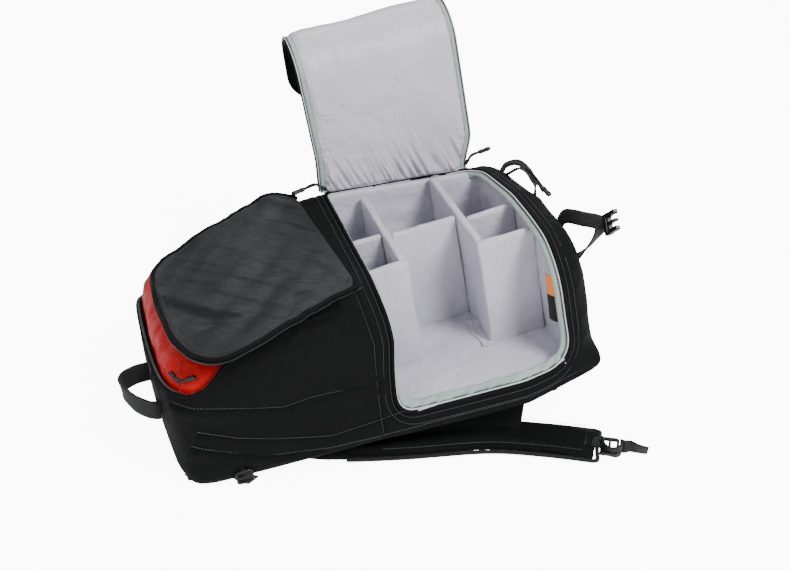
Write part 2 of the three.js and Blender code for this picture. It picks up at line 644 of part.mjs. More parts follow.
// The prong half of a side-release buckle: a ladder end and three prongs
function buckleGeometry() {
  const { width, length, thickness } = BUCKLE;
  const ladder = 0.44 * length;
  const outline = roundedRectangle(-width / 2, 0, width / 2, ladder, [3, 3, 1, 1]);
  outline.holes.push(roundedRectangle(-width / 2 + 3, 3, width / 2 - 3, ladder - 5, [1, 1, 1, 1]));
  const plate = solid(new THREE.ExtrudeGeometry(outline, { depth: thickness, bevelEnabled: false, curveSegments: 2 }));
  const prong = (x, w) => solid(new THREE.ExtrudeGeometry(
    roundedRectangle(x - w / 2, ladder - 1, x + w / 2, length, [1, 1, 1.5, 1.5]),
    { depth: thickness, bevelEnabled: false, curveSegments: 2 },
  ));
  return geometryOf(plate.add(prong(-width / 2 + 3, 5)).add(prong(0, 3)).add(prong(width / 2 - 3, 5)));
}

// Turns a flat fitting's x, y and z to given directions and puts it in place
function placed(geometry, along, up, at) {
  const y = new THREE.Vector3(...along).normalize();
  const z = new THREE.Vector3(...up);
  z.addScaledVector(y, -z.dot(y)).normalize();
  const x = new THREE.Vector3().crossVectors(y, z);
  const turn = new THREE.Matrix4().makeBasis(x, y, z).setPosition(...at);
  return geometry.applyMatrix4(turn);
}

// A point over the pack's front, a little way above its cloth
const atFront = ({ x, y, above }) => [x, y, frontHeight(x, y) + above];

const atFlap = ({ out, y, above }) => atFront({ x: flapX(out), y, above });

// A point off the pack's bottom end
const offBottom = ({ out, y, up }) => [bottomEndX + out, y, packZ(SECTIONS.at(-1).top) + up];

// A zip pull: a cord loop from its slider with a moulded grip at its end
function zipPull(name, from, to, slack = [0, 0, 2]) {
  const a = new THREE.Vector3(...from);
  const b = new THREE.Vector3(...to);
  const away = b.clone().sub(a).normalize();
  const gripStart = b.clone().addScaledVector(away, -PULL.gripLength);
  const bend = a.clone().lerp(gripStart, 0.5).add(new THREE.Vector3(...slack));
  const cord = tube([a, bend, gripStart.clone().addScaledVector(away, 2)], PULL.cord, 5, 6);
  const grip = tube([gripStart, gripStart.clone().lerp(b, 0.5), b], PULL.grip, 6, 2);
  return node(name, geometryOf(solid(cord).add(solid(grip))), BLACK_PLASTIC);
}

// A padded shoulder strap lying on the floor, given by the middle of its run and its clear height there
function shoulderStrap(run) {
  const curve = new THREE.CatmullRomCurve3(run.map(([x, y]) => new THREE.Vector3(x, y, 0)), false, 'centripetal');
  const steps = 18;
  const { width, thickness, corner } = STRAP;
  const rings = [];
  for (let i = 0; i <= steps; i++) {
    const centre = curve.getPointAt(i / steps);
    const side = new THREE.Vector3().crossVectors(curve.getTangentAt(i / steps), new THREE.Vector3(0, 0, -1));
    const headroom = underPack(centre.x - (Math.abs(side.x) * width) / 2) - 2 * GAP;
    const tall = Math.min(thickness, headroom);
    const round = Math.min(corner, tall / 2 - 0.5);
    const end = i === steps ? 0.9 : 1;
    const half = (width / 2) * end;
    const profile = [
      [-half + round, 0], [half - round, 0], [half, round], [half, tall - round], [half - round, tall],
      [0, tall], [-half + round, tall], [-half, tall - round], [-half, round],
    ];
    rings.push(profile.map(([w, h]) => centre.clone().addScaledVector(side, w).setZ(h)));
  }
  return loft(rings);
}

// The pitched frame: where a point of the pack lands over the floor, before the whole is centred
const floorDrop = Math.min(...SECTIONS.map((row) => packX(row.along) * Math.sin(PITCH)
  + (backZ + PACK_DEPTH * row.lift) * Math.cos(PITCH)));
function overFloor(x, y, z) {
  return [
    x * Math.cos(PITCH) - z * Math.sin(PITCH),
    y,
    x * Math.sin(PITCH) + z * Math.cos(PITCH) - floorDrop,
  ];
}

// Height of the pack's flat back over the floor at a place along the floor
function underPack(floorX) {
  const x = (floorX + backZ * Math.sin(PITCH)) / Math.cos(PITCH);
  return overFloor(x, 0, backZ)[2];
}

function backPads() {
  const pad = ({ thickness, halfWidth, from, to, bevel }) => {
    const shape = roundedRectangle(from, -halfWidth, to, halfWidth, [26, 26, 26, 26]);
    const geometry = new THREE.ExtrudeGeometry(shape, {
      depth: thickness - bevel, bevelEnabled: true, bevelThickness: bevel, bevelSize: bevel,
      bevelOffset: -bevel, bevelSegments: 1, curveSegments: 4,
    });
    return geometry.translate(0, 0, backZ - GAP - thickness);
  };
  return [
    node('back_pad', pad(BACK_PAD), BLACK_NYLON),
    node('lumbar_pad', pad(LUMBAR_PAD), BLACK_NYLON),
  ];
}

// One wing of the hip belt, folded in under the lumbar pad, on the floor or over the other wing
function hipWing(side, bottom) {
  const { thickness, from, to, root, reach, corner } = HIP_WING;
  const shape = new THREE.Shape();
  const start = side * root;
  const end = side * (root - reach);
  const low = roundedRectangle(Math.min(start, end), bottom, Math.max(start, end), bottom + thickness,
    [corner, corner, corner, corner]);
  shape.copy(low);
  const geometry = new THREE.ExtrudeGeometry(shape, { depth: to - from, bevelEnabled: false, curveSegments: 3 });
  return geometry.rotateX(Math.PI / 2).rotateZ(Math.PI / 2).translate(from, 0, 0);
}

// The webbing that runs on from a ladder lock, standing on its edge and leaning outwards towards its end
function strapTail(from, heading) {
  const rise = WEBBING.width / 2;
  const turn = Math.sign(heading.y);
  const at = (along, out, z) => [from.x + along * heading.x - out * heading.y * turn, from.y + along * heading.y
    + out * heading.x * turn, z];
  const path = [
    at(0, 0, rise), at(6, 1, rise), at(13, -1, rise), at(20, 1, rise - 0.3), at(27, 2, rise - 0.7),
    at(33, 2, rise - 1),
  ];
  const across = [0, 0.2, 0.45, 0.6].map((share) => [-share * heading.y * turn, share * heading.x * turn, 1]);
  return ribbon(path, across, WEBBING.width * 0.9, WEBBING.thickness, 14);
}

function strapSet(side, splay) {
  const run = STRAP_RUN.map(({ x, y }) => [x, side * Math.abs(y) * splay]);
  const [[x0, y0], [x1, y1]] = run.slice(-2);
  const heading = new THREE.Vector3(x1 - x0, y1 - y0, 0).normalize();
  const lockAt = [x1 + heading.x * GAP, y1 + heading.y * GAP, (STRAP.thickness - LADDER_LOCK.thickness) / 2];
  const tailFrom = new THREE.Vector2(x1, y1).addScaledVector(heading, LADDER_LOCK.length + 3 * GAP);
  const word = side < 0 ? 'near' : 'far';
  return [
    node(`${word}_shoulder_strap`, shoulderStrap(run), BLACK_NYLON),
    node(`${word}_ladder_lock`, placed(ladderLock(), heading.toArray(), [0, 0, 1], lockAt), BLACK_PLASTIC),
    node(`${word}_strap_tail`, strapTail(tailFrom, heading), BLACK_WEBBING),
  ];
}

// A flat frame with two slots, its first bar against the strap
function ladderLock() {
  const { length, width, bar, thickness } = LADDER_LOCK;
  const outer = roundedRectangle(-width / 2, 0, width / 2, length, [2, 2, 4, 4]);
  const slot = (length - 3 * bar) / 2;
  for (const low of [bar, 2 * bar + slot]) {
    outer.holes.push(roundedRectangle(bar - width / 2, low, width / 2 - bar, low + slot, [1, 1, 1, 1]));
  }
  return new THREE.ExtrudeGeometry(outer, { depth: thickness, bevelEnabled: false, curveSegments: 2 });
}

// The prong buckle that hangs on its webbing from the bottom end
function buckleOnWebbing() {
  const webbing = ribbon(
    BUCKLE_RUN.map(offBottom),
    [[0, 1, 0], [0.3, 0.5, 1], [0.7, 0.1, 1], [0.8, 0, 0.9], [0.9, 0.2, 0.3], [0.5, 0.6, -0.3], [0, 1, -0.2]],
    WEBBING.width * 0.8, WEBBING.thickness, 24,
  );
  const buckle = placed(buckleGeometry(), [0.1, -0.75, 0.62], [0.6, -0.4, 0.2], offBottom(BUCKLE_AT));
  return [node('buckle_webbing', webbing, BLACK_WEBBING), node('prong_buckle', buckle, BLACK_PLASTIC)];
}

// Label place sewn on the cell's right wall: a coloured upper half and a dark lower half
function labels() {
  const { width, thickness, orangeTop, orangeHeight, blackHeight, near } = LABEL;
  const piece = (top, height) => new THREE.BoxGeometry(thickness, width, height)
    .translate(cellEnd - GAP - thickness / 2, near + width / 2, top - height / 2);
  return [
    node('label_upper', piece(orangeTop, orangeHeight), ORANGE_LABEL),
    node('label_lower', piece(orangeTop - orangeHeight - GAP, blackHeight), BLACK_WEBBING),
  ];
}

// The two pulls of the lid's zip, run back to the ends of its hinge
function lidPull(name, hingeX, side, { out, above, reach, rise }) {
  const { behind, forward } = LID_PULLS;
  const x = hingeX + side * out;
  const from = [x, OPENING_FAR_EDGE + behind, hingeHeight(hingeX) + above];
  return zipPull(name, from, [x + side * reach, from[1] - forward, hingeHeight(hingeX) + rise]);
}

// Small webbing loop on the edge of the bottom end
function edgeLoop() {
  const { width, onPack, run } = EDGE_LOOP;
  const path = [...onPack.map(atFront), ...run.map(offBottom)];
  const across = [[0.3, 1, 0.5], [0.5, 0.7, 0.3], [0.2, 0.9, 0.2]];
  return node('edge_webbing_loop', ribbon(path, across, width, WEBBING.thickness, 16), BLACK_WEBBING);
}

const floorPieces = [
  ...strapSet(-1, 1),
  ...strapSet(1, FAR_STRAP_SPLAY),
  node('far_hip_wing', hipWing(1, 0), BLACK_NYLON),
  node('near_hip_wing', hipWing(-1, HIP_WING.thickness + GAP), BLACK_NYLON),
];

const pack = new THREE.Group();
pack.rotation.y = -PITCH;
pack.position.z = -floorDrop;
pack.add(
  node('shell', shell(), BLACK_NYLON),
  node('cell_liner', cellLiner(), GREY_LINING),
  node('day_liner', dayLiner(), RED_LINING),
  node('opening_tape', openingTape(), SAGE_TAPE),
  node('divider_left', longDivider('left'), GREY_LINING),
  node('divider_right', longDivider('right'), GREY_LINING),
  ...CROSS_DIVIDERS.map((row) => node(row.name, crossDivider(row), GREY_LINING)),
  lid(),
  node('day_flap', dayFlap(), COATED_NYLON),
  node('flap_binding', flapBinding(), BLACK_WEBBING),
  node('haul_handle', haulHandle(), BLACK_WEBBING),
  ...backPads(),
  ...buckleOnWebbing(),
  ...labels(),
  edgeLoop(),
  node('top_ring', placed(ringFitting(), [0, -1, -0.9], [-1, 0, 0], [topEndX - GAP, RING.y, packZ(RING.height)]), BLACK_PLASTIC),
  lidPull('lid_pull_right', LID.hingeRight, 1, LID_PULLS.right),
  lidPull('lid_pull_left', LID.hingeLeft, -1, LID_PULLS.left),
  zipPull('day_pull', atFlap(DAY_PULL.from), atFlap(DAY_PULL.to)),
  zipPull('bottom_pull', atFront(BOTTOM_PULL.from), offBottom(BOTTOM_PULL.end), BOTTOM_PULL.slack),
);

const backpack = new THREE.Group();
backpack.name = 'camera_backpack';
backpack.add(pack, ...floorPieces);

// The middle of the model's underside is the origin
backpack.updateMatrixWorld(true);
const box = new THREE.Box3().setFromObject(backpack, true);
backpack.position.set(-(box.min.x + box.max.x) / 2, -(box.min.y + box.max.y) / 2, -box.min.z);

export default backpack;
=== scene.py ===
import json
import math
import bpy
import bmesh
import numpy as np
from mathutils import Vector, Matrix, noise

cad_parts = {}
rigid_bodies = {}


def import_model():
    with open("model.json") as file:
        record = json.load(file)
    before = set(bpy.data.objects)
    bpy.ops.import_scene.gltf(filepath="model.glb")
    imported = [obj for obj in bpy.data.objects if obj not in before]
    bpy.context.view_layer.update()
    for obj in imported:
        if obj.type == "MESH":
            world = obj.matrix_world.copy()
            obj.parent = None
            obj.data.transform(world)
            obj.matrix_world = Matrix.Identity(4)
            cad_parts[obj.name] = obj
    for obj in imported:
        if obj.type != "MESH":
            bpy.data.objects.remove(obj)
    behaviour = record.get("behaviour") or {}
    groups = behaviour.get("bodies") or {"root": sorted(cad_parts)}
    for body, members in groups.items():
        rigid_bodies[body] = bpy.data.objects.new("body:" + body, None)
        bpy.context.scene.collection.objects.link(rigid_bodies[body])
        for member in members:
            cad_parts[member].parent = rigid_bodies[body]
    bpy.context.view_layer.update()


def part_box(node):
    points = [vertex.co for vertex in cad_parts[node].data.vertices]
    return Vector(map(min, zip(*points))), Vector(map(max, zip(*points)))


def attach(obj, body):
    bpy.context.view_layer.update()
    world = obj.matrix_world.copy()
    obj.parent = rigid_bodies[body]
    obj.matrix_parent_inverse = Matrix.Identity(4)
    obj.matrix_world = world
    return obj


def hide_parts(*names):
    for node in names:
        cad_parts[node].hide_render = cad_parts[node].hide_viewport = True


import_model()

# The pack lies on its back with its bottom end raised. Its pieces are drawn in the pack's own frame, in
# millimetres: x from its top end to its bottom end, y away from the camera, z from the wearer to the front,
# with 0, 0, 0 in the middle of the camera cell's floor. The near hip wing's corner ties it to the floor.
PITCH = math.radians(9.4)
wing_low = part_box("far_hip_wing")[0]
FLOOR_FRAME = Matrix.Translation((wing_low[0] - 0.036, wing_low[1] + 0.045, 0)) @ Matrix.Scale(0.001, 4)
PACK_FRAME = (Matrix.Translation((wing_low[0] - 0.036, wing_low[1] + 0.045, 0.079507))
              @ Matrix.Rotation(-PITCH, 4, "Y") @ Matrix.Scale(0.001, 4))

# The camera stands in front of the near side, a little above the pack, and looks down on it.
camera_data = bpy.data.cameras.new("camera")
camera_data.lens = 59.82
camera_data.sensor_width = 36.0
camera_data.clip_end = 50
camera = bpy.data.objects.new("camera", camera_data)
bpy.context.collection.objects.link(camera)
camera.location = FLOOR_FRAME @ Vector((-468.9, -1316.5, 949.5))
camera.rotation_euler = Vector((0.24867, 0.82760, -0.50322)).to_track_quat("-Z", "Y").to_euler()
bpy.context.scene.camera = camera


def colour(code):
    """An sRGB hex colour as linear red, green, blue and alpha."""
    parts = [int(code[i:i + 2], 16) / 255 for i in (1, 3, 5)]
    return tuple(p / 12.92 if p <= 0.04045 else ((p + 0.055) / 1.055) ** 2.4 for p in parts) + (1.0,)


def add_node(tree, kind, sockets=None, **settings):
    """A node with its settings, and with its inputs set to values or linked to other nodes' outputs."""
    made = tree.nodes.new(kind)
    for key, value in settings.items():
        setattr(made, key, value)
    for key, value in (sockets or {}).items():
        if isinstance(value, bpy.types.NodeSocket):
            tree.links.new(value, made.inputs[key])
        else:
            made.inputs[key].default_value = value
    return made


def new_material(name, **shader_values):
    """A node material with its output and shader; values that are the same all over go on the shader."""
    material = bpy.data.materials.new(name)
    material.use_nodes = True
    tree = material.node_tree
    tree.nodes.clear()
    values = {key.replace("_", " "): value for key, value in shader_values.items()}
    shader = add_node(tree, "ShaderNodeBsdfPrincipled", values)
    add_node(tree, "ShaderNodeOutputMaterial", {"Surface": shader.outputs["BSDF"]})
    return material, tree, shader


# Studio: a white paper floor, a dim white room and three soft lamps: the main one in front on the right and
# above, the others weaker, on the left and behind.
floor_mesh = bpy.data.meshes.new("studio_floor")
floor_mesh.from_pydata([(-6, -5, 0), (6, -5, 0), (6, 9, 0), (-6, 9, 0)], [], [(0, 1, 2, 3)])
studio_floor = bpy.data.objects.new("studio_floor", floor_mesh)
bpy.context.collection.objects.link(studio_floor)
paper, paper_tree, paper_shader = new_material("white_paper", Roughness=0.95)
paper_shader.inputs["Base Color"].default_value = colour("#ffffff")
paper_shader.inputs["Specular IOR Level"].default_value = 0.1
paper_shader.inputs["Emission Color"].default_value = colour("#ffffff")
seen = add_node(paper_tree, "ShaderNodeLightPath").outputs["Is Camera Ray"]
glow = add_node(paper_tree, "ShaderNodeMath", {0: seen, 1: 9.0, 2: 0.3}, operation="MULTIPLY_ADD").outputs[0]
paper_tree.links.new(glow, paper_shader.inputs["Emission Strength"])
floor_mesh.materials.append(paper)
world = bpy.data.worlds.new("studio")
bpy.context.scene.world = world
world.use_nodes = True
world.node_tree.nodes["Background"].inputs["Color"].default_value = (1.0, 1.0, 1.0, 1.0)
world.node_tree.nodes["Background"].inputs["Strength"].default_value = 0.5
for lamp_name, place, size, power in (("soft_key", (0.9, -1.7, 2.2), 0.9, 92),
                                      ("soft_fill", (-1.8, -0.9, 1.8), 1.6, 14),
                                      ("soft_back", (0.2, 2.0, 2.6), 1.4, 42)):
    lamp_data = bpy.data.lights.new(lamp_name, "AREA")
    lamp_data.size, lamp_data.energy = size, power
    lamp = bpy.data.objects.new(lamp_name, lamp_data)
    bpy.context.collection.objects.link(lamp)
    lamp.location = place
    lamp.rotation_euler = (Vector((0, 0, 0.12)) - Vector(place)).to_track_quat("-Z", "Y").to_euler()


# Body of the pack: black nylon over thin padding, sewn from panels into an arch-shaped bag that is flat at
# the wearer's back, flared down its sides, round at its near shoulder and tight at the far one. Its seams and
# pocket edges run along the near wall, and the soft cloth sags a little between them.
SECTIONS = np.array([
    # along, back, near, far, top, fall, lift: shares of length, half widths and depth
    (0.000, 0.62, 0.62, 0.48, 0.62, 0.000, 0.11),
    (0.010, 0.74, 0.80, 0.62, 0.76, 0.000, 0.04),
    (0.030, 0.80, 0.89, 0.74, 0.85, 0.000, 0.01),
    (0.070, 0.83, 0.94, 0.84, 0.93, -0.010, 0.00),
    (0.200, 0.87, 0.95, 0.94, 0.965, -0.020, 0.00),
    (0.450, 0.93, 0.90, 0.97, 0.98, -0.045, 0.00),
    (0.523, 0.96, 0.89, 0.97, 0.985, -0.045, 0.00),
    (0.640, 1.00, 0.92, 0.97, 0.99, 0.000, 0.00),
    (0.795, 1.04, 0.97, 0.97, 1.00, 0.060, 0.00),
    (0.924, 0.94, 1.00, 0.97, 1.00, 0.110, 0.00),
    (0.960, 0.86, 0.97, 0.93, 0.96, 0.110, 0.00),
    (0.984, 0.78, 0.90, 0.86, 0.91, 0.100, 0.05),
    (0.995, 0.71, 0.82, 0.76, 0.86, 0.090, 0.14),
    (1.000, 0.60, 0.68, 0.62, 0.76, 0.060, 0.26),
])
LENGTH, DEPTH, BACK_HALF, FRONT_HALF = 510.0, 180.0, 164.0, 140.0
BOTTOM_END, BACK_Z, CELL_END = 142.0, -24.0, 102.0
TOP_END = BOTTOM_END - LENGTH
FOOT = 11
SHOULDER = 16


def arch_half(x, side, inset=0.0):
    """Half of the pack's section at x, from the middle of the back to the middle of the front: y and z."""
    length = LENGTH - 2 * inset
    share = min(max((x - TOP_END - inset) / length, 0), 1)
    spread = min(5.0, min(share, 1 - share) * length) / length
    samples = share + spread * np.array((-1, -0.5, 0, 0.5, 1))
    back, near, far, top, fall, lift = [np.interp(samples, SECTIONS[:, 0], SECTIONS[:, k]).mean()
                                        for k in range(1, 7)]
    low, high = BACK_Z + DEPTH * lift + inset, BACK_Z + DEPTH * top - inset
    half = FRONT_HALF * (near if side < 0 else far) - inset
    out, size = BACK_HALF * back - inset, (66.0, 72.0) if side < 0 else (15.0, 15.0)
    across, rise = max(size[0] * near - inset, 4), max(size[1] * near - inset, 4)
    drop = 0.0 if side < 0 else DEPTH * fall
    corner = max(14.0 - inset, 3)
    line = [(t * out, low) for t in (0, 0.3, 0.6, 0.8)]
    for a in np.radians(np.linspace(0, 90, 7)):
        line.append((out - corner + corner * math.sin(a), low + corner - corner * math.cos(a)))
    foot, shoulder = low + corner, high - drop - rise
    for t in np.linspace(0, 1, SHOULDER - FOOT + 1)[1:-1]:
        line.append((half + (out - half) * (1 - t) ** 1.6, foot + t * (shoulder - foot)))
    for a in np.radians(np.linspace(0, 90, 15)):
        line.append((half - across + across * math.cos(a), shoulder + rise * math.sin(a)))
    for s in (0.8, 0.6, 0.4, 0.2, 0.0):
        line.append((s * (half - across), high + 2 * (1 - s * s) - drop * s))
    return np.array([(side * y, z) for y, z in line])


def arch_ring(x, inset=0.0):
    return np.vstack([arch_half(x, -1, inset), arch_half(x, 1, inset)[::-1][1:]])


def arch_height(x, y, inset=0.0):
    """Height of the section's outside at a place across, on its side wall or on its front."""
    line = arch_half(x, -1 if y < 0 else 1, inset)[FOOT - 1:]
    order = np.argsort(line[:, 0])
    return float(np.interp(y, line[order, 0], line[order, 1]))


def near_wall(x, z, inset=0.0):
    """Place across of the near wall's outside at a height."""
    line = arch_half(x, -1, inset)[FOOT - 1:-6]
    return float(np.interp(z, line[:, 1], line[:, 0]))


def evened(line, count, closed=False):
    """As many points along a line, evenly spaced."""
    line = np.asarray(line, float)
    if closed:
        line = np.vstack([line, line[:1]])
    run = np.concatenate([[0], np.cumsum(np.linalg.norm(np.diff(line, axis=0), axis=1))])
    at = np.linspace(0, run[-1], count, endpoint=not closed)
    return np.stack([np.interp(at, run, line[:, k]) for k in range(line.shape[1])], 1)


def smoothed(line, rounds=1, closed=False):
    """A line with its corners eased: each round moves a point towards its neighbours' middle."""
    line = np.array(line, float)
    for _ in range(rounds):
        middle = (np.roll(line, 1, 0) + np.roll(line, -1, 0)) / 2
        eased = 0.5 * line + 0.5 * middle
        if not closed:
            eased[[0, -1]] = line[[0, -1]]
        line = eased
    return line


def make_piece(name, points, faces, material, frame_of=PACK_FRAME, thickness=0.0, merge=0.03):
    """An object at the origin from points in millimetres; a sheet gets its thickness on its inner side."""
    mesh = bpy.data.meshes.new(name)
    mesh.from_pydata([frame_of @ Vector(p) for p in np.asarray(points, float)], [], faces)
    work = bmesh.new()
    work.from_mesh(mesh)
    bmesh.ops.remove_doubles(work, verts=work.verts, dist=merge / 1000)
    bmesh.ops.delete(work, geom=[v for v in work.verts if not v.link_faces], context="VERTS")
    bmesh.ops.recalc_face_normals(work, faces=work.faces)
    if thickness:
        work.normal_update()
        inner = {v: work.verts.new(v.co - v.normal * thickness / 1000) for v in list(work.verts)}
        rim = [e for e in work.edges if e.is_boundary]
        for face in list(work.faces):
            work.faces.new([inner[v] for v in reversed(face.verts)])
        for e in rim:
            loop = e.link_loops[0]
            a, b = loop.vert, loop.link_loop_next.vert
            work.faces.new([b, a, inner[a], inner[b]])
    for face in work.faces:
        face.smooth = True
    work.to_mesh(mesh)
    work.free()
    mesh.materials.append(material)
    made = bpy.data.objects.new(name, mesh)
    bpy.context.collection.objects.link(made)
    return made


def grid_faces(m, n, closed_rows=False, closed_columns=False):
    return [(i * n + j, i * n + (j + 1) % n, (i + 1) % m * n + (j + 1) % n, (i + 1) % m * n + j)
            for i in range(m if closed_rows else m - 1) for j in range(n if closed_columns else n - 1)]


def grid_piece(name, rows, material, closed_rows=False, closed_columns=False, **options):
    """A piece through rows of as many points each."""
    rows = np.asarray(rows, float)
    faces = grid_faces(rows.shape[0], rows.shape[1], closed_rows, closed_columns)
    return make_piece(name, rows.reshape(-1, 3), faces, material, **options)


def cut_grid(rows, away):
    """Points and faces of a grid closed round its columns, without the part where away is above 0."""
    m, n = away.shape
    points, faces, number = [], [], {}

    def corner(p):
        if p not in number:
            number[p] = len(points)
            points.append(rows[p])
        return number[p]

    def crossing(p, q):
        key = (min(p, q), max(p, q))
        if key not in number:
            number[key] = len(points)
            points.append(rows[p] + (rows[q] - rows[p]) * (away[p] / (away[p] - away[q])))
        return number[key]

    for i in range(m - 1):
        for j in range(n):
            ring = [(i, j), (i, (j + 1) % n), (i + 1, (j + 1) % n), (i + 1, j)]
            face = []
            for p, q in zip(ring, ring[1:] + ring[:1]):
                if away[p] <= 0:
                    face.append(corner(p))
                if (away[p] <= 0) != (away[q] <= 0):
                    face.append(crossing(p, q))
            if len(face) > 2:
                faces.append(face)
    return points, faces


def tube_piece(name, path, radius, material, sides=8, closed=False, flatten=1.0, **options):
    """A round roll along points, its ends closed; flatten gives it an oval section."""
    path = np.asarray(path, float)
    n = len(path)
    tangents = np.roll(path, -1, 0) - np.roll(path, 1, 0) if closed else np.gradient(path, axis=0)
    tangents /= np.linalg.norm(tangents, axis=1)[:, None] + 1e-9
    side = np.cross(tangents[0], (0.31, 0.22, 1.0))
    frames = []
    for t in tangents:
        side = side - t * side.dot(t)
        side = side / (np.linalg.norm(side) + 1e-9)
        frames.append(side)
    if closed:
        last = frames[-1] - tangents[0] * frames[-1].dot(tangents[0])
        twist = math.atan2(np.cross(last, frames[0]).dot(tangents[0]), last.dot(frames[0]))
        frames = [s * math.cos(twist * i / n) + np.cross(t, s) * math.sin(twist * i / n)
                  for i, (s, t) in enumerate(zip(frames, tangents))]
    rings = []
    for p, t, s, r in zip(path, tangents, frames, np.broadcast_to(radius, (n,))):
        b = np.cross(t, s)
        rings.append([p + r * (math.cos(a) * s + flatten * math.sin(a) * b)
                      for a in np.linspace(0, 2 * math.pi, sides, endpoint=False)])
    faces = grid_faces(n, sides, closed_rows=closed, closed_columns=True)
    if not closed:
        faces += [tuple(range(sides)), tuple((n - 1) * sides + j for j in range(sides))]
    return make_piece(name, np.array(rings).reshape(-1, 3), faces, material, **options)


def cloth_material(name, dark, light, roughness, weave, creases, crease_scale=26.0, stretch=(1.0, 1.0, 1.0),
                   weave_height=0.25, sheen=0.15, specular=0.3):
    """Woven cloth: threads finer than a millimetre, soft creases, and a slightly uneven colour and gloss."""
    material, tree, shader = new_material(name, Sheen_Weight=sheen, Sheen_Roughness=0.4, IOR=1.5,
                                          Specular_IOR_Level=specular)
    place = add_node(tree, "ShaderNodeTexCoord").outputs["Object"]
    drawn = add_node(tree, "ShaderNodeMapping", {"Vector": place, "Scale": stretch}).outputs["Vector"]
    folds = add_node(tree, "ShaderNodeTexNoise", {"Vector": drawn, "Scale": crease_scale, "Detail": 5.0,
                                                  "Roughness": 0.5, "Distortion": 0.8}).outputs["Fac"]
    along = add_node(tree, "ShaderNodeTexWave", {"Vector": place, "Scale": weave, "Distortion": 0.5},
                     bands_direction="X").outputs["Fac"]
    across = add_node(tree, "ShaderNodeTexWave", {"Vector": place, "Scale": weave, "Distortion": 0.5},
                      bands_direction="DIAGONAL").outputs["Fac"]
    threads = add_node(tree, "ShaderNodeMath", {0: along, 1: across}, operation="MULTIPLY").outputs[0]
    tint = add_node(tree, "ShaderNodeTexNoise", {"Vector": drawn, "Scale": 11.0, "Detail": 4.0}).outputs["Fac"]
    shade = add_node(tree, "ShaderNodeMix", {0: tint, 6: colour(dark), 7: colour(light)}, data_type="RGBA")
    rough = add_node(tree, "ShaderNodeMapRange", {"Value": tint, "To Min": roughness - 0.07,
                                                  "To Max": roughness + 0.07}).outputs[0]
    low = add_node(tree, "ShaderNodeBump", {"Height": folds, "Strength": creases, "Distance": 0.01})
    fine = add_node(tree, "ShaderNodeBump", {"Height": threads, "Strength": weave_height, "Distance": 0.0004,
                                             "Normal": low.outputs["Normal"]})
    tree.links.new(shade.outputs[2], shader.inputs["Base Color"])
    tree.links.new(rough, shader.inputs["Roughness"])
    tree.links.new(fine.outputs["Normal"], shader.inputs["Normal"])
    return material


# Black nylon cloth: plain woven, nearly matt.
black_nylon = cloth_material("black_nylon", "#020303", "#070809", 0.8, 900.0, 0.4, sheen=0.0, specular=0.16)

OPENING = {"far": 128.0, "sill": 6.0, "sill_top": 16.0, "sill_bottom": 32.0, "far_top": 6.0, "far_bottom": 34.0}


def opening_left(z):
    """The opening's left edge leans out towards the sill and bows in a little below the shoulder."""
    return float(np.interp(z, (6, 30, 60, 90, 120, 150), (-112, -110.5, -105, -98.5, -99, -102)))


def opening_depth(x, y, z):
    """How far a point is inside the opening's edge; below 0 outside it."""
    def inside(px, py, cx, cy, hx, hy, r):
        qx, qy = abs(px - cx) - hx + r, abs(py - cy) - hy + r
        return r - math.hypot(max(qx, 0), max(qy, 0)) - min(max(qx, qy), 0)
    left = opening_left(z)
    middle, half = (left + CELL_END) / 2, (CELL_END - left) / 2
    far_r, sill_r = ((OPENING["far_bottom"], OPENING["sill_bottom"]) if x > middle
                     else (OPENING["far_top"], OPENING["sill_top"]))
    plan = inside(x, y, middle, OPENING["far"] - 500, half, 500, far_r)
    side = inside(x, z, middle, OPENING["sill"] + 500, half, 500, sill_r)
    return min(plan, side)


def opening_loop(shrink=0.0, inset=0.0, count=320):
    """Points round the opening's edge on the pack's surface, or as far inside the edge as shrink says."""
    far, sill = OPENING["far"] - min(shrink, 0.5), OPENING["sill"] + shrink
    right = CELL_END - shrink
    rt, rb = max(OPENING["far_top"] - shrink, 1.5), max(OPENING["far_bottom"] - shrink, 1.5)
    st, sb = max(OPENING["sill_top"] - shrink, 1.5), max(OPENING["sill_bottom"] - shrink, 1.5)
    points = []

    def on_front(x, y):
        points.append((x, y, arch_height(x, y, inset)))

    def on_wall(x, z):
        points.append((x, near_wall(x, z, inset), z))

    def along_arch(edge, from_y, to_z, down):
        line = []
        for y in np.linspace(from_y, -60, 34):
            x = edge(arch_height(0, y, inset))
            line.append((x, y, arch_height(x, y, inset)))
        for z in np.linspace(arch_height(0, -60, inset), to_z, 40)[1:]:
            x = edge(z)
            line.append((x, near_wall(x, z, inset), z))
        return line if down else line[::-1]

    left = lambda z: opening_left(z) + shrink
    for a in np.radians(np.linspace(90, 170, 5)):
        on_front(left(150) + rt + rt * math.cos(a), far - rt + rt * math.sin(a))
    points += along_arch(left, far - rt - 1, sill + st, True)
    for a in np.radians(np.linspace(186, 270, 8)):
        on_wall(left(sill) + st + st * math.cos(a), sill + st + st * math.sin(a))
    for x in np.linspace(left(sill) + st, right - sb, 44)[1:-1]:
        on_wall(x, sill)
    for a in np.radians(np.linspace(270, 360, 12)):
        on_wall(right - sb + sb * math.cos(a), sill + sb + sb * math.sin(a))
    points += along_arch(lambda z: right, far - rb - 1, sill + sb + 1, False)
    for a in np.radians(np.linspace(4, 90, 9)):
        on_front(right - rb + rb * math.cos(a), far - rb + rb * math.sin(a))
    for x in np.linspace(right - rb, left(150) + rt, 44)[1:-1]:
        on_front(x, far)
    return smoothed(evened(points, count, closed=True), 5, closed=True)


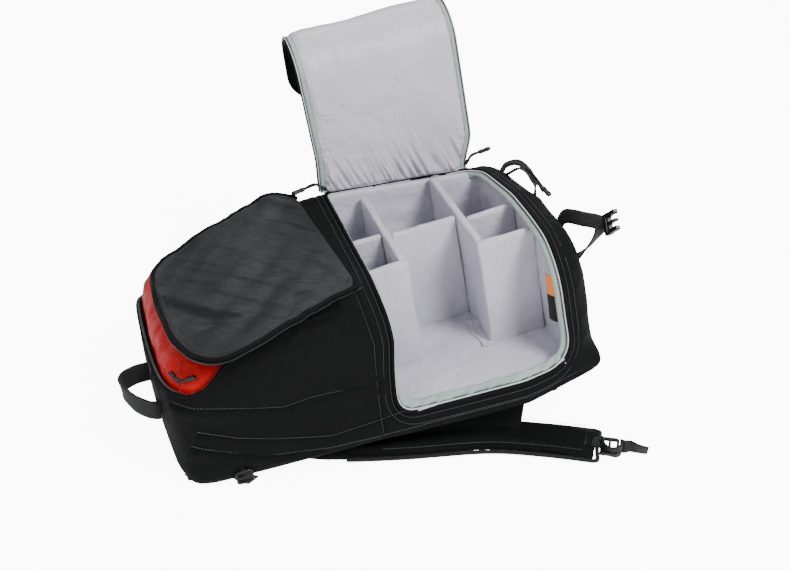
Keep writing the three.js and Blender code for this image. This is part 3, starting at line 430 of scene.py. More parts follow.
MOUTH_EDGE = np.array([(-0.06, 0.75), (0.01, 0.74), (0.035, 0.71), (0.067, 0.69), (0.105, 0.71), (0.157, 0.81),
                       (0.208, 0.855), (0.27, 0.92), (0.33, 0.95), (0.43, 0.955), (0.45, 1.3)])


def mouth_height(x):
    """Height of the day compartment's zip line along the pack."""
    return BACK_Z + DEPTH * float(np.interp((x - TOP_END) / LENGTH, MOUTH_EDGE[:, 0], MOUTH_EDGE[:, 1]))


WALL_SEAMS = [
    # points along x and z of the near wall, groove depth and half width
    ([(-352, 92), (-330, 83), (-300, 73), (-262, 60), (-236, 52), (-205, 53), (-168, 49), (-128, 46)], 3.4, 2.6),
    ([(-335, 52), (-296, 31), (-253, 16), (-220, 7), (-194, 1), (-140, 3), (-106, 6)], 3.4, 2.4),
    ([(-346, 34), (-300, 12), (-257, -3), (-200, -12), (-147, -14), (-60, -12), (60, -12), (122, -10)], 3.2, 2.4),
    ([(-127, 158), (-125, 130), (-122, 90), (-128, 48), (-134, 8), (-136, -10)], 2.4, 2.0),
]


def seam_groove(x, z):
    """How far the near wall sinks at its seams, with a soft roll on both sides of each."""
    sink = 0.0
    for line, depth, width in WALL_SEAMS:
        line = np.array(line, float)
        a, ab = line[:-1], np.diff(line, axis=0)
        t = np.clip(((x - a[:, 0]) * ab[:, 0] + (z - a[:, 1]) * ab[:, 1]) / (ab ** 2).sum(1), 0, 1)
        off = np.hypot(x - a[:, 0] - t * ab[:, 0], z - a[:, 1] - t * ab[:, 1]).min()
        sink += depth * math.exp(-(off / width) ** 2) - 0.45 * depth * math.exp(-((off - 2.6 * width) / width) ** 2)
    return sink


def wave(x, y, z, size, seed):
    """Smooth unevenness between about -1 and 1, the same each run."""
    return noise.noise(Vector((x / size[0] + seed, y / size[1] - seed, z / size[2] + 0.37 * seed)))


def body_grid():
    around = 236
    stations = np.concatenate([TOP_END + np.array((0.0, 0.6, 1.6, 3.0, 5.0, 8.0, 11.5)),
                               np.arange(TOP_END + 15, BOTTOM_END - 14, 3.5),
                               BOTTOM_END - np.array((11.5, 8.0, 5.0, 3.0, 1.6, 0.6, 0.0))])
    rings = [np.column_stack([np.full(around, x), evened(arch_ring(x), around, closed=True)]) for x in stations]
    for ring, outward in ((rings[0], -1), (rings[-1], 1)):
        middle, caps = ring.mean(0), []
        for s in (0.93, 0.8, 0.64, 0.48, 0.32, 0.16, 0.0):
            cap = middle + (ring - middle) * s
            cap[:, 0] += outward * 5.0 * (1 - s * s)
            caps.append(cap)
        rings = caps[::-1] + rings if outward < 0 else rings + caps
    rows = np.array(rings)
    away = np.array([[max(opening_depth(*p), p[2] - mouth_height(p[0])) for p in ring] for ring in rows])
    for i, ring in enumerate(rows):
        for j, (x, y, z) in enumerate(ring):
            edge = min(1.0, max(0.0, -away[i, j] / 16.0))
            push = 4.6 * wave(x, y, z, (95, 60, 42), 1) + 2.0 * wave(x + 0.8 * z, y, z, (36, 30, 16), 9)
            push += 1.0 * wave(x - z, y, z, (16, 20, 9), 4)
            push = (1.6 + max(push, -1.4)) * edge
            if y < -60:
                push -= seam_groove(x, z) * min(1.0, 0.25 + edge)
            push -= 1.5 * (math.exp(-((away[i, j] + 6) / 2.2) ** 2) + math.exp(-((away[i, j] + 13) / 2.2) ** 2))
            ease = min(1.0, max(0.0, (z - BACK_Z - 1) / 12))
            hem = 13.0 * math.exp(-((x - 128) / 16) ** 2) * math.exp(-((z + 12) / 15) ** 2) * (y < -40)
            out = np.array((0.0, y / 130, max(z - 70, 0) / 70))
            out /= np.linalg.norm(out) + 1e-6
            rows[i, j] += out * (push * ease + 0.7 * hem) + np.array((0.8 * hem, 0, 0))
    return rows, away


body_rows, body_away = body_grid()
body_points, body_faces = cut_grid(body_rows, body_away)
pack_body = make_piece("pack_body", body_points, body_faces, black_nylon, thickness=2.8)
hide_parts("shell")
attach(pack_body, "root")


def smoothstep(v, low, high):
    t = min(max((v - low) / (high - low), 0), 1)
    return t * t * (3 - 2 * t)


# Edge of the camera opening: the black cloth turns in over a cord, then comes a pale piping and the sage zip
# tape with its coil of teeth, all sewn together. Along the sill the tape puckers over the padded lip.
sage_tape = cloth_material("sage_zip_tape", "#8fa29d", "#b4c4be", 0.62, 2200.0, 0.25, crease_scale=60.0,
                           weave_height=0.5)
pale_piping = cloth_material("pale_piping", "#b9c0c2", "#dfe3e4", 0.6, 1500.0, 0.2, crease_scale=120.0)


def plastic_material(name, code, roughness, grain=1800.0):
    """Moulded plastic with a fine grain, a little duller where it is handled."""
    material, tree, shader = new_material(name, Base_Color=colour(code), IOR=1.49)
    place = add_node(tree, "ShaderNodeTexCoord").outputs["Object"]
    speck = add_node(tree, "ShaderNodeTexNoise", {"Vector": place, "Scale": grain, "Detail": 2.0}).outputs["Fac"]
    wear = add_node(tree, "ShaderNodeTexNoise", {"Vector": place, "Scale": 60.0, "Detail": 4.0}).outputs["Fac"]
    rough = add_node(tree, "ShaderNodeMapRange", {"Value": wear, "To Min": roughness - 0.08,
                                                  "To Max": roughness + 0.1}).outputs[0]
    bump = add_node(tree, "ShaderNodeBump", {"Height": speck, "Strength": 0.2, "Distance": 0.0002})
    tree.links.new(rough, shader.inputs["Roughness"])
    tree.links.new(bump.outputs["Normal"], shader.inputs["Normal"])
    return material


# Nylon coil of the zips, dyed dark.
zip_coil = plastic_material("nylon_zip_coil", "#26292b", 0.4)
# Black polyester sewing thread.
black_thread = plastic_material("black_thread", "#303234", 0.6)


def repeat_tree(name, kind):
    """Geometry Nodes: small pieces set at even distances along a path and turned along it."""
    tree = bpy.data.node_groups.new(name, "GeometryNodeTree")
    tree.interface.new_socket("Geometry", in_out="INPUT", socket_type="NodeSocketGeometry")
    for label, value in (("Spacing", 0.003), ("Piece Length", 0.002), ("Piece Radius", 0.0004), ("Tilt", 0.0)):
        socket = tree.interface.new_socket(label, in_out="INPUT", socket_type="NodeSocketFloat")
        socket.default_value = value
    tree.interface.new_socket("Finish", in_out="INPUT", socket_type="NodeSocketMaterial")
    tree.interface.new_socket("Geometry", in_out="OUTPUT", socket_type="NodeSocketGeometry")
    given = add_node(tree, "NodeGroupInput").outputs
    curve = add_node(tree, "GeometryNodeMeshToCurve", {"Mesh": given["Geometry"]}).outputs["Curve"]
    dots = add_node(tree, "GeometryNodeCurveToPoints", {"Curve": curve, "Length": given["Spacing"]}, mode="LENGTH")
    if kind == "stitch":
        shape = add_node(tree, "GeometryNodeMeshCylinder", {"Vertices": 6, "Radius": given["Piece Radius"],
                                                            "Depth": given["Piece Length"]}).outputs["Mesh"]
        axis = "Z"
    else:
        half = add_node(tree, "ShaderNodeMath", {0: given["Piece Radius"], 1: 2.0}, operation="MULTIPLY").outputs[0]
        size = add_node(tree, "ShaderNodeCombineXYZ", {"X": half, "Y": given["Piece Length"], "Z": half}).outputs[0]
        shape = add_node(tree, "GeometryNodeMeshCube", {"Size": size, "Vertices X": 2, "Vertices Y": 3,
                                                        "Vertices Z": 2}).outputs["Mesh"]
        axis = "X"
    turn = add_node(tree, "FunctionNodeAlignRotationToVector", {"Vector": dots.outputs["Tangent"]}, axis=axis)
    tilt = add_node(tree, "ShaderNodeCombineXYZ", {"Z" if axis == "X" else "X": given["Tilt"]}).outputs[0]
    leaned = add_node(tree, "FunctionNodeRotateRotation", {"Rotation": turn.outputs[0], "Rotate By": tilt},
                      rotation_space="LOCAL")
    set_out = add_node(tree, "GeometryNodeInstanceOnPoints", {"Points": dots.outputs["Points"], "Instance": shape,
                                                              "Rotation": leaned.outputs[0]})
    real = add_node(tree, "GeometryNodeRealizeInstances", {"Geometry": set_out.outputs["Instances"]})
    done = add_node(tree, "GeometryNodeSetMaterial", {"Geometry": real.outputs[0], "Material": given["Finish"]})
    add_node(tree, "NodeGroupOutput", {"Geometry": done.outputs[0]})
    return tree


stitch_tree = repeat_tree("stitches_along_path", "stitch")
tooth_tree = repeat_tree("zip_teeth_along_path", "tooth")


def repeated(name, paths, tree, material, spacing, length, radius, tilt=0.0, closed=False, frame_of=PACK_FRAME):
    """A piece of stitches or teeth along one path or several, from a node tree that is applied."""
    points, edges = [], []
    for path in paths:
        start, n = len(points), len(path)
        points += [frame_of @ Vector(p) for p in path]
        edges += [(start + i, start + (i + 1) % n) for i in range(n if closed else n - 1)]
    mesh = bpy.data.meshes.new(name + "_path")
    mesh.from_pydata(points, edges, [])
    made = bpy.data.objects.new(name, mesh)
    bpy.context.collection.objects.link(made)
    modifier = made.modifiers.new("along", "NODES")
    modifier.node_group = tree
    values = {"Spacing": spacing / 1000, "Piece Length": length / 1000, "Piece Radius": radius / 1000,
              "Tilt": tilt, "Finish": material}
    for socket in tree.interface.items_tree:
        if socket.in_out == "INPUT" and socket.name in values:
            modifier[socket.identifier] = values[socket.name]
    return applied(made)


def applied(made):
    """The piece with what its modifiers do made into its mesh, and no modifier left."""
    made.update_tag()
    bpy.context.view_layer.update()
    kept = bpy.data.meshes.new_from_object(made.evaluated_get(bpy.context.evaluated_depsgraph_get()))
    made.modifiers.clear()
    made.data = kept
    return made


def laid_flat(p):
    """1 where the opening's edge band lies open to view, on the right and along the sill; 0 where it is tucked in."""
    return max(smoothstep(p[0], 55, 95), (p[1] < -80) * (1 - smoothstep(p[2], 12, 44)))


def edge_loop(shrink, inset):
    """A loop inside the opening's edge; on the left and far sides it turns straight down into the cell."""
    open_loop, tucked = opening_loop(shrink, inset), opening_loop(0.9 + 0.12 * shrink, inset + 0.9 * shrink)
    share = np.array([laid_flat(p) for p in open_loop])[:, None]
    return open_loop * share + tucked * (1 - share)


def edge_band(name, material, levels, thickness, pucker):
    """A band inside the opening's edge through loops given by how far in and how deep they are."""
    rows = []
    for k, (shrink, inset) in enumerate(levels):
        loop = edge_loop(shrink, inset)
        for j, p in enumerate(loop):
            on_sill = math.exp(-((p[2] - 12) / 26) ** 2) if p[1] < -90 else 0.1
            loop[j] += np.array((0, -0.4, 0.9)) * pucker * on_sill * math.sin(k * 0.8) * wave(j, 0.2 * k, 0, (2.1, 1, 1), 3)
        rows.append(loop)
    return grid_piece(name, rows, material, closed_columns=True, thickness=thickness)


rim_roll = tube_piece("opening_binding", opening_loop(-1.4, 0.2), 2.2, black_nylon, sides=10, closed=True)
piping_line = edge_loop(1.3, 0.9)
rim_piping = tube_piece("opening_piping", piping_line, [0.55 + 0.4 * laid_flat(p) for p in piping_line], pale_piping,
                        closed=True)
rim_tape = edge_band("opening_zip_tape", sage_tape, [(0.8, 1.3), (2.6, 1.5), (4.4, 1.9), (6.2, 2.6), (7.8, 3.8), (9.0, 6.0)],
                     0.9, 8.5)
rim_teeth = repeated("opening_zip_teeth", [edge_loop(3.2, 0.9)], tooth_tree, zip_coil, 1.7, 2.0, 0.4, closed=True)
rim_stitches = repeated("opening_stitches", [opening_loop(-6.0, -1.0), opening_loop(-13.0, -1.2)], stitch_tree,
                        black_thread, 3.4, 2.4, 0.42, closed=True)
pocket_stitches = repeated("pocket_stitches", [[(x, near_wall(x, z + 4, -1.8), z + 4) for x, z in evened(line, 90)]
                                               for line, depth, width in WALL_SEAMS], stitch_tree, black_thread,
                           3.6, 2.4, 0.45)
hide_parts("opening_tape")
for piece in (rim_roll, rim_piping, rim_tape, rim_teeth, rim_stitches, pocket_stitches):
    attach(piece, "root")


# Tub of the camera cell: foam walls and a floor pad wrapped in one piece of grey satin, which wrinkles down
# the walls and is quilted softly on the floor. Its walls end in a padded lip under the zip tape.
grey_satin = cloth_material("grey_satin_lining", "#b4b1bf", "#cccad4", 0.4, 1500.0, 0.4, crease_scale=30.0,
                            weave_height=0.12, sheen=0.1, specular=0.5)
FAR_INSIDE = 122.5


def cell_outline(count=300):
    """The cell's floor outline from its far left corner towards the near side, closely spaced at its near ends."""
    corner, line = 12.0, []
    near = near_wall(0, 6, 13.3)
    for cx, cy, start in ((-CELL_END + corner, FAR_INSIDE - corner, 90), (-CELL_END + corner, near + corner, 180),
                          (CELL_END - corner, near + corner, 270), (CELL_END - corner, FAR_INSIDE - corner, 0)):
        for a in np.radians(np.linspace(start, start + 90, 12)):
            line.append((cx + corner * math.cos(a), cy + corner * math.sin(a)))
        if start == 90:
            line += [(-CELL_END, y) for y in np.linspace(FAR_INSIDE - corner, near + corner, 60)[1:-1]]
        if start == 180:
            line += [(x, near) for x in np.linspace(-CELL_END + corner, CELL_END - corner, 40)[1:-1]]
        if start == 270:
            line += [(CELL_END, y) for y in np.linspace(near + corner, FAR_INSIDE - corner, 60)[1:-1]]
    return np.array(line), near


def cell_lining_rows():
    base, near = cell_outline()
    rows, middle = [], np.array((0.0, 0.0))
    for s in (0.0, 0.1, 0.2, 0.3, 0.4, 0.5, 0.6, 0.7, 0.78, 0.86, 0.92, 0.96, 0.985):
        ring = []
        for x, y in base * s:
            z = 1.6 + 1.3 * wave(x, y, 0, (30, 24, 9), 2) + 0.8 * wave(x + y, y, 0, (12, 20, 9), 6)
            ring.append((x, y, z + 1.5 * min(1.0, (1 - s) / 0.1)))
        rows.append(ring)
    edge_level = []
    for x, y in base:
        if abs(x) > CELL_END - 11.9 and y > near + 1:
            top = arch_height(math.copysign(CELL_END - 1, x), min(max(y - 3, near + 0.5), FAR_INSIDE), 5.0)
        elif y > 0:
            top = arch_height(x, y, 5.0)
        else:
            top = OPENING["sill"] - 2.0
        if y < near + 12 and abs(x) > CELL_END - 34:
            r = OPENING["sill_bottom"] if x > 0 else OPENING["sill_top"]
            across = max(abs(x) - (CELL_END - r), 0)
            lip = OPENING["sill"] + r - math.sqrt(max(r * r - min(across, r) ** 2, 0))
            top = max(min(top, lip) if abs(x) > CELL_END - 11.9 else lip, OPENING["sill"] - 2)
        edge_level.append(top)
    edge_level = np.array(edge_level)
    for t in np.concatenate([[0.0, 0.02, 0.05], np.linspace(0.09, 1.0, 26)]):
        ring = []
        for (x, y), top in zip(base, edge_level):
            z = 1.0 + t * (top - 1.0)
            tall = min(1.0, (top - 1) / 60)
            side_wall = abs(x) > CELL_END - 2
            run = y if side_wall else x
            dent = 2.6 * wave(run, z, x, (17, 70, 60), 5) + 1.3 * wave(run + 0.5 * z, z, y, (9, 22, 80), 8)
            dent = (dent - 0.8) * tall * min(1.0, 5 * t) * min(1.0, 5 * (1 - t) + 0.2)
            dent *= 1 + 0.9 * (y > FAR_INSIDE - 1)
            bow = (opening_left(z) + CELL_END + 1) * (1 - smoothstep(y, -66, -30)) if side_wall and x < 0 else 0.0
            if side_wall:
                ring.append((x + math.copysign(1, x) * min(dent, 1.0) + bow, y, z))
            else:
                ring.append((x, y + math.copysign(1, y) * min(dent, 1.0), z))
        rows.append(ring)
    last = np.array(rows[-1])
    flat = last[:, :2]
    out = np.zeros_like(last)
    for k, (x, y) in enumerate(base):
        if abs(x) > CELL_END - 2:
            out[k, 0] = math.copysign(1, x)
        else:
            out[k, 1] = math.copysign(1, y)
    for side, rise in ((1.2, 1.0), (3.2, 1.7), (5.6, 1.3)):
        rows.append(last + out * side + np.array((0, 0, rise)))
    return rows


cell_lining = grid_piece("cell_lining", cell_lining_rows(), grey_satin, closed_columns=True, thickness=1.6)
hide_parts("cell_liner")
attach(cell_lining, "root")


# Seven dividers: foam boards in grey satin covers, two long ones across the cell and five short ones hooked
# between them and the walls. Each cover is a little loose, so it puffs over its board and rounds its edges.
def cad_shape(node):
    """The merged points and faces of a CAD node, in metres."""
    source = next(o for o in bpy.data.objects if o.name == node and o.type == "MESH")
    work = bmesh.new()
    work.from_mesh(source.data)
    bmesh.ops.transform(work, matrix=source.matrix_world, verts=work.verts)
    bmesh.ops.remove_doubles(work, verts=work.verts, dist=0.00001)
    bmesh.ops.recalc_face_normals(work, faces=work.faces)
    return work


def gridded(work, step, frame_of):
    """Cuts a closed shape by planes a step apart along all three directions of a frame."""
    turn = frame_of.to_3x3().normalized()
    centre = sum((v.co for v in work.verts), Vector()) / len(work.verts)
    for axis in range(3):
        normal = Vector(turn.col[axis]).normalized()
        spans = [normal.dot(v.co - centre) for v in work.verts]
        for k in range(int(min(spans) / step), int(max(spans) / step) + 1):
            bmesh.ops.bisect_plane(work, geom=work.verts[:] + work.edges[:] + work.faces[:],
                                   plane_co=centre + normal * (k + 0.37) * step, plane_no=normal)
    return work


def mesh_object(name, work, material):
    mesh = bpy.data.meshes.new(name)
    for face in work.faces:
        face.smooth = True
    work.to_mesh(mesh)
    work.free()
    mesh.materials.append(material)
    made = bpy.data.objects.new(name, mesh)
    bpy.context.collection.objects.link(made)
    return made


def drawn_in(made, by):
    """Moves every point inwards along its normal, in metres."""
    mesh = made.data
    normals = [v.normal.copy() for v in mesh.vertices]
    for v, n in zip(mesh.vertices, normals):
        v.co -= n * by


def puffed(jobs):
    """Padded covers: each job's mesh is remeshed, blown up a little as cloth, held to its cap and smoothed."""
    for made, voxel, shrink, pressure, cap in jobs:
        drawn_in(made, shrink)
        if voxel:
            remesh = made.modifiers.new("even", "REMESH")
            remesh.mode, remesh.voxel_size = "VOXEL", voxel
            material = made.data.materials[0]
            applied(made)
            made.data.materials.clear()
            made.data.materials.append(material)
    starts = {}
    for made, voxel, shrink, pressure, cap in jobs:
        starts[made] = np.array([v.co for v in made.data.vertices])
        cloth = made.modifiers.new("cover", "CLOTH")
        settings = cloth.settings
        settings.quality, settings.mass, settings.air_damping = 5, 0.3, 2.0
        settings.tension_stiffness = settings.compression_stiffness = 12.0
        settings.shear_stiffness, settings.bending_stiffness = 6.0, 0.6
        settings.use_pressure, settings.uniform_pressure_force = True, pressure
        settings.effector_weights.gravity = 0
        cloth.point_cache.frame_start, cloth.point_cache.frame_end = 1, 20
    for step in range(1, 21):
        bpy.context.scene.frame_set(step)
    for made, voxel, shrink, pressure, cap in jobs:
        seen = made.evaluated_get(bpy.context.evaluated_depsgraph_get()).data
        moved = np.array([v.co for v in seen.vertices]) - starts[made]
        moved -= moved.mean(0)
        far = np.linalg.norm(moved, axis=1)[:, None]
        made.modifiers.clear()
        kept = starts[made] + moved * np.minimum(1, cap / (far + 1e-9))
        made.data.vertices.foreach_set("co", kept.reshape(-1))
    bpy.context.scene.frame_set(1)
    for made, voxel, shrink, pressure, cap in jobs:
        smooth = made.modifiers.new("smooth", "SMOOTH")
        smooth.iterations, smooth.factor = 2, 0.5
        finer = made.modifiers.new("finer", "SUBSURF")
        finer.levels = finer.render_levels = 1
        applied(made)
        for face in made.data.polygons:
            face.use_smooth = True


def uneven(made, amount, size, seed):
    """Small wrinkles worked into a padded piece along its normals, in metres."""
    mesh = made.data
    normals = [v.normal.copy() for v in mesh.vertices]
    for v, n in zip(mesh.vertices, normals):
        x, y, z = v.co * 1000
        v.co += n * amount * (wave(x, y, z, size, seed) - 0.2)


def refitted(made, axis, low, high):
    """Stretches a piece along one of the pack's directions so that it reaches from low to high."""
    inverse = PACK_FRAME.inverted()
    places = [inverse @ v.co for v in made.data.vertices]
    first, last = min(p[axis] for p in places), max(p[axis] for p in places)
    for v, p in zip(made.data.vertices, places):
        p[axis] = low + (p[axis] - first) / (last - first) * (high - low)
        v.co = PACK_FRAME @ p


divider_names = ["divider_left", "divider_right", "divider_middle", "divider_left_rear", "divider_left_front",
                 "divider_right_rear", "divider_right_front"]
divider_pads = [mesh_object("padded_" + node, gridded(cad_shape(node), 0.0055, PACK_FRAME), grey_satin)
                for node in divider_names]
refitted(divider_pads[0], 1, -48.5, 148.7)
refitted(divider_pads[1], 1, -56.5, 148.7)
refitted(divider_pads[4], 0, -108.5, -51.5)
refitted(divider_pads[4], 1, -57.5, -48.0)
refitted(divider_pads[6], 0, 29.5, 101.7)
refitted(divider_pads[6], 1, -65.5, -56.0)
puffed([(made, 0, -0.0002, 4.0, 0.0008) for made in divider_pads])
for k, (node, made) in enumerate(zip(divider_names, divider_pads)):
    uneven(made, 0.0013, (34, 30, 70), 11 + k)
    uneven(made, 0.0004, (9, 11, 34), 31 + k)
    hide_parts(node)
    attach(made, "root")

# Hook tab of the right long divider, a strip of the same satin pressed to the floor pad at its near end.
tab_rows = [[(25 + 15 * (u - 0.5) + 1.5 * math.sin(v * 9), -68 + 62 * v, 4.4 + 1.6 * wave(29 + 22 * u, 46 * v, 0, (6, 7, 9), 3)
              + 0.5 * math.sin(u * math.pi)) for u in np.linspace(0, 1, 14)] for v in np.linspace(0, 1, 26)]
divider_tab = grid_piece("divider_tab", tab_rows, grey_satin, thickness=0.9)
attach(divider_tab, "root")


# Bare label on the cell's right wall: a small woven tag, orange above and black below, sewn into the seam.
orange_tag = cloth_material("orange_woven_tag", "#ef7d2c", "#fb9a4c", 0.6, 1600.0, 0.1)
black_webbing = cloth_material("black_webbing", "#0a0b0c", "#161718", 0.66, 620.0, 0.12, weave_height=1.0,
                               sheen=0.08, specular=0.35)


def tag(name, node, low, high, material):
    rows = [[(99.2 - 5 * u - 1.2 * math.sin(math.pi * u) + 0.5 * wave(0, y, z, (9, 8, 12), 2), y, z)
             for u, y in zip(np.linspace(0, 1, 8), np.linspace(-118, -106, 8))] for z in np.linspace(low, high, 16)]
    made = grid_piece(name, rows, material, thickness=0.7)
    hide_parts(node)
    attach(made, "root")
    return made


tag("tag_upper", "label_upper", 79, 107, orange_tag)
tag("tag_lower", "label_lower", 42.7, 78.7, black_webbing)


# Lid of the camera cell: it stands up from its hinge at the far edge and folds over backwards. Outside it is
# a black padded panel; inside, grey satin is gathered along the hinge and edged with the sage zip tape.
LID = {"standing": 160.0, "lean": 6.0, "radius": 38.0, "angle": math.radians(165), "hanging": 78.0,
       "left": -103.0, "right": 98.0, "hinge_left": -107.0, "hinge_right": 84.0, "flare": 50.0, "corner": 44.0}
LID_LENGTH = LID["standing"] + LID["radius"] * LID["angle"] + LID["hanging"]


def lid_sides(s, edge=0.0):
    """Where the lid's left and right edges are at a distance from its hinge."""
    flare = smoothstep(s, -1, LID["flare"])
    into = min(max(s + edge - (LID_LENGTH - LID["corner"]), 0), LID["corner"] - 0.5)
    tuck = LID["corner"] - math.sqrt(LID["corner"] ** 2 - into ** 2)
    left = LID["hinge_left"] + (LID["left"] - LID["hinge_left"]) * flare
    right = LID["hinge_right"] + (LID["right"] - LID["hinge_right"]) * flare
    return left + edge + tuck, right - edge - tuck


def lid_at(s, x, depth):
    """A point of the lid: how far from its hinge, where along it, and how far off its middle to the lining."""
    tilt = math.atan2(LID["lean"], LID["standing"])
    hinge = arch_height(0, 128.0) + 1.1
    y = 134.0 + math.sin(tilt) * min(s, LID["standing"])
    z = hinge + math.cos(tilt) * min(s, LID["standing"])
    turned = min(max((s - LID["standing"]) / (LID["radius"] * LID["angle"]), 0), 1) * LID["angle"]
    angle = tilt + turned
    if turned > 0:
        beyond = max(s - LID["standing"] - LID["radius"] * LID["angle"], 0)
        y += LID["radius"] * (math.cos(tilt) - math.cos(angle)) + math.sin(angle) * beyond
        z += LID["radius"] * (math.sin(angle) - math.sin(tilt)) + math.cos(angle) * beyond
    slope = (arch_height(min(max(x, -102), 90), 128.0) + 1.1 - hinge) * (1 - smoothstep(s, 0, LID["standing"]))
    return np.array((x, y - math.cos(angle) * depth, z + math.sin(angle) * depth + slope))


lid_steps = np.concatenate([np.linspace(0, LID_LENGTH - 46, 80), LID_LENGTH - 44 + 44 * np.sin(np.radians(np.linspace(3, 88, 18)))])
panel_rows = []
for s in lid_steps:
    x0, x1 = lid_sides(s)
    section = []
    for u, side in [(u, 1) for u in np.linspace(0, 1, 40)] + [(u, -1) for u in np.linspace(1, 0, 40)[1:-1]]:
        roll = math.sqrt(max(1 - (2 * u - 1) ** 12, 0))
        swell = 0.6 * wave(x0 + (x1 - x0) * u, s, 0, (60, 50, 9), 14)
        section.append(lid_at(s, x0 + (x1 - x0) * u, side * roll * (3.6 + swell)))
    panel_rows.append(section)
panel_rows = [np.array(panel_rows[0]).mean(0) + 0.5 * (np.array(panel_rows[0]) - np.array(panel_rows[0]).mean(0))] + panel_rows
panel_points = np.array(panel_rows).reshape(-1, 3)
around = len(panel_rows[0])
panel_faces = grid_faces(len(panel_rows), around, closed_columns=True)
panel_faces += [tuple(range(around)), tuple((len(panel_rows) - 1) * around + j for j in range(around))]
lid_panel = make_piece("lid_outer_panel", panel_points[:], panel_faces, black_nylon)


def lid_edge(edge, count=300):
    """The lid's free edge, from its hinge's left end round the tip to the right end, taken in by edge."""
    steps = np.concatenate([np.linspace(0, LID_LENGTH - 46, 60), LID_LENGTH - 44 + 44 * np.sin(np.radians(np.linspace(2, 89.5, 26)))])
    steps = np.minimum(steps, LID_LENGTH - edge)
    left = [(s, lid_sides(s, edge)[0]) for s in steps]
    right = [(s, lid_sides(s, edge)[1]) for s in steps]
    return evened(left + right[::-1], count)


def lid_line(edge, depth, count=300):
    return np.array([lid_at(s, x, depth) for s, x in lid_edge(edge, count)])


lid_tape = grid_piece("lid_zip_tape", [lid_line(e, d) for e, d in ((0.2, 3.0), (0.8, 4.2), (3.2, 5.0), (5.6, 5.2),
                                                                   (7.6, 5.2))], sage_tape, thickness=0.9)
lid_piping = tube_piece("lid_piping", lid_line(0.5, 4.9), 0.8, pale_piping)
lid_teeth = repeated("lid_zip_teeth", [lid_line(1.6, 5.6)], tooth_tree, zip_coil, 1.7, 1.8, 0.4)
lid_edge_roll = tube_piece("lid_edge_binding", lid_line(0.8, -0.6), 2.2, black_nylon)

lining_rows = []
for k, s in enumerate(np.concatenate([np.linspace(1.0, 70, 70), np.linspace(73, LID_LENGTH - 52, 60),
                                      LID_LENGTH - 10.4 - 40 + 40 * np.sin(np.radians(np.linspace(4, 88, 12)))])):
    x0, x1 = lid_sides(s, 7.2)
    row = []
    for u in np.linspace(0, 1, 150):
        x = x0 + (x1 - x0) * u
        shoulder = min(1.0, min(u, 1 - u) * 26) ** 0.5
        fold = math.exp(-(s / (36 + 22 * wave(x, 0, 0, (14, 1, 1), 7))) ** 2)
        gather = 7.0 * wave(x + 0.35 * s, s, 0, (5.0, 60, 9), 3) + 4.5 * wave(x - 0.2 * s, s, 0, (10.0, 80, 9), 5)
        gather = (gather + 2.0) * fold * min(1.0, s / 5)
        edge_pucker = 2.0 * wave(x, s, 0, (9, 6, 9), 19) * math.exp(-min(u, 1 - u) * 22) * min(1.0, s / 20)
        soft = 2.6 * wave(x, s, 0, (70, 60, 9), 21) + 0.7 * wave(x + 0.3 * s, s, 0, (20, 44, 9), 22)
        row.append(lid_at(s, x, 4.4 + shoulder * (3.0 + soft + gather) + edge_pucker))
    lining_rows.append(row)
lid_lining = grid_piece("lid_satin_lining", lining_rows, grey_satin, thickness=1.0)
hem_line = [lid_at(0.0, x, 4.5 + 0.5 * wave(x, 0, 0, (6, 1, 1), 2)) + np.array((0, 0, -0.5))
            for x in np.linspace(lid_sides(0)[0] + 7, lid_sides(0)[1] - 7, 90)]
lid_hem = tube_piece("lid_hinge_seam", hem_line, 1.8, grey_satin, flatten=0.8)
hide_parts("lid_panel")
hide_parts("lid_tape")
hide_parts("lid_lining")
for piece, slot in ((lid_panel, "black_nylon"), (lid_tape, "sage_tape"), (lid_piping, "sage_tape"),
                    (lid_teeth, "black_plastic"), (lid_edge_roll, "black_nylon"), (lid_lining, "grey_lining"),
                    (lid_hem, "grey_lining")):
    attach(piece, "root")

# Hinge of the lid: the black outer cloth runs on over the far edge of the body into the panel.
hinge_rows = []
for t in np.linspace(0, 1, 8):
    row = []
    for x in np.linspace(-104, 86, 60):
        low = np.array((x, 127.0, arch_height(x, 127.0) + 0.6))
        high = lid_at(4.0, x, -1.0)
        row.append(low + (high - low) * t + np.array((0, 1.2, 1.4)) * math.sin(math.pi * t))
    hinge_rows.append(row)
lid_hinge = grid_piece("lid_cloth_hinge", hinge_rows, grey_satin, thickness=1.2)
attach(lid_hinge, "root")


# Day compartment: a red nylon bag inside the pack's top end, puffed out over its zip line at the near side,
# with a piped seam at the corner and the black zip round its mouth.
red_nylon = cloth_material("red_nylon_lining", "#a40000", "#cc0000", 0.5, 1200.0, 0.45, crease_scale=34.0,
                           weave_height=0.12, sheen=0.0, specular=0.22)
dark_red = cloth_material("dark_red_piping", "#8e0805", "#a90d09", 0.5, 1200.0, 0.1)
bag_steps = np.concatenate([TOP_END + np.array((4.6, 5.4, 6.6, 8.4, 11, 14, 18)), np.arange(TOP_END + 22, -119, 4.0), [-117.5]])
bag_rows = [np.column_stack([np.full(200, x), evened(arch_ring(x, 4.6), 200, closed=True)]) for x in bag_steps]
for ring, outward in ((bag_rows[0], -1), (bag_rows[-1], 1)):
    middle = ring.mean(0)
    caps = [middle + (ring - middle) * s + np.array((outward * (2.5 if outward < 0 else 0) * (1 - s * s), 0, 0))
            for s in (0.9, 0.7, 0.5, 0.3, 0.1, 0.0)]
    bag_rows = caps[::-1] + bag_rows if outward < 0 else bag_rows + caps
bag_rows = np.array(bag_rows)
bag_away = np.empty(bag_rows.shape[:2])
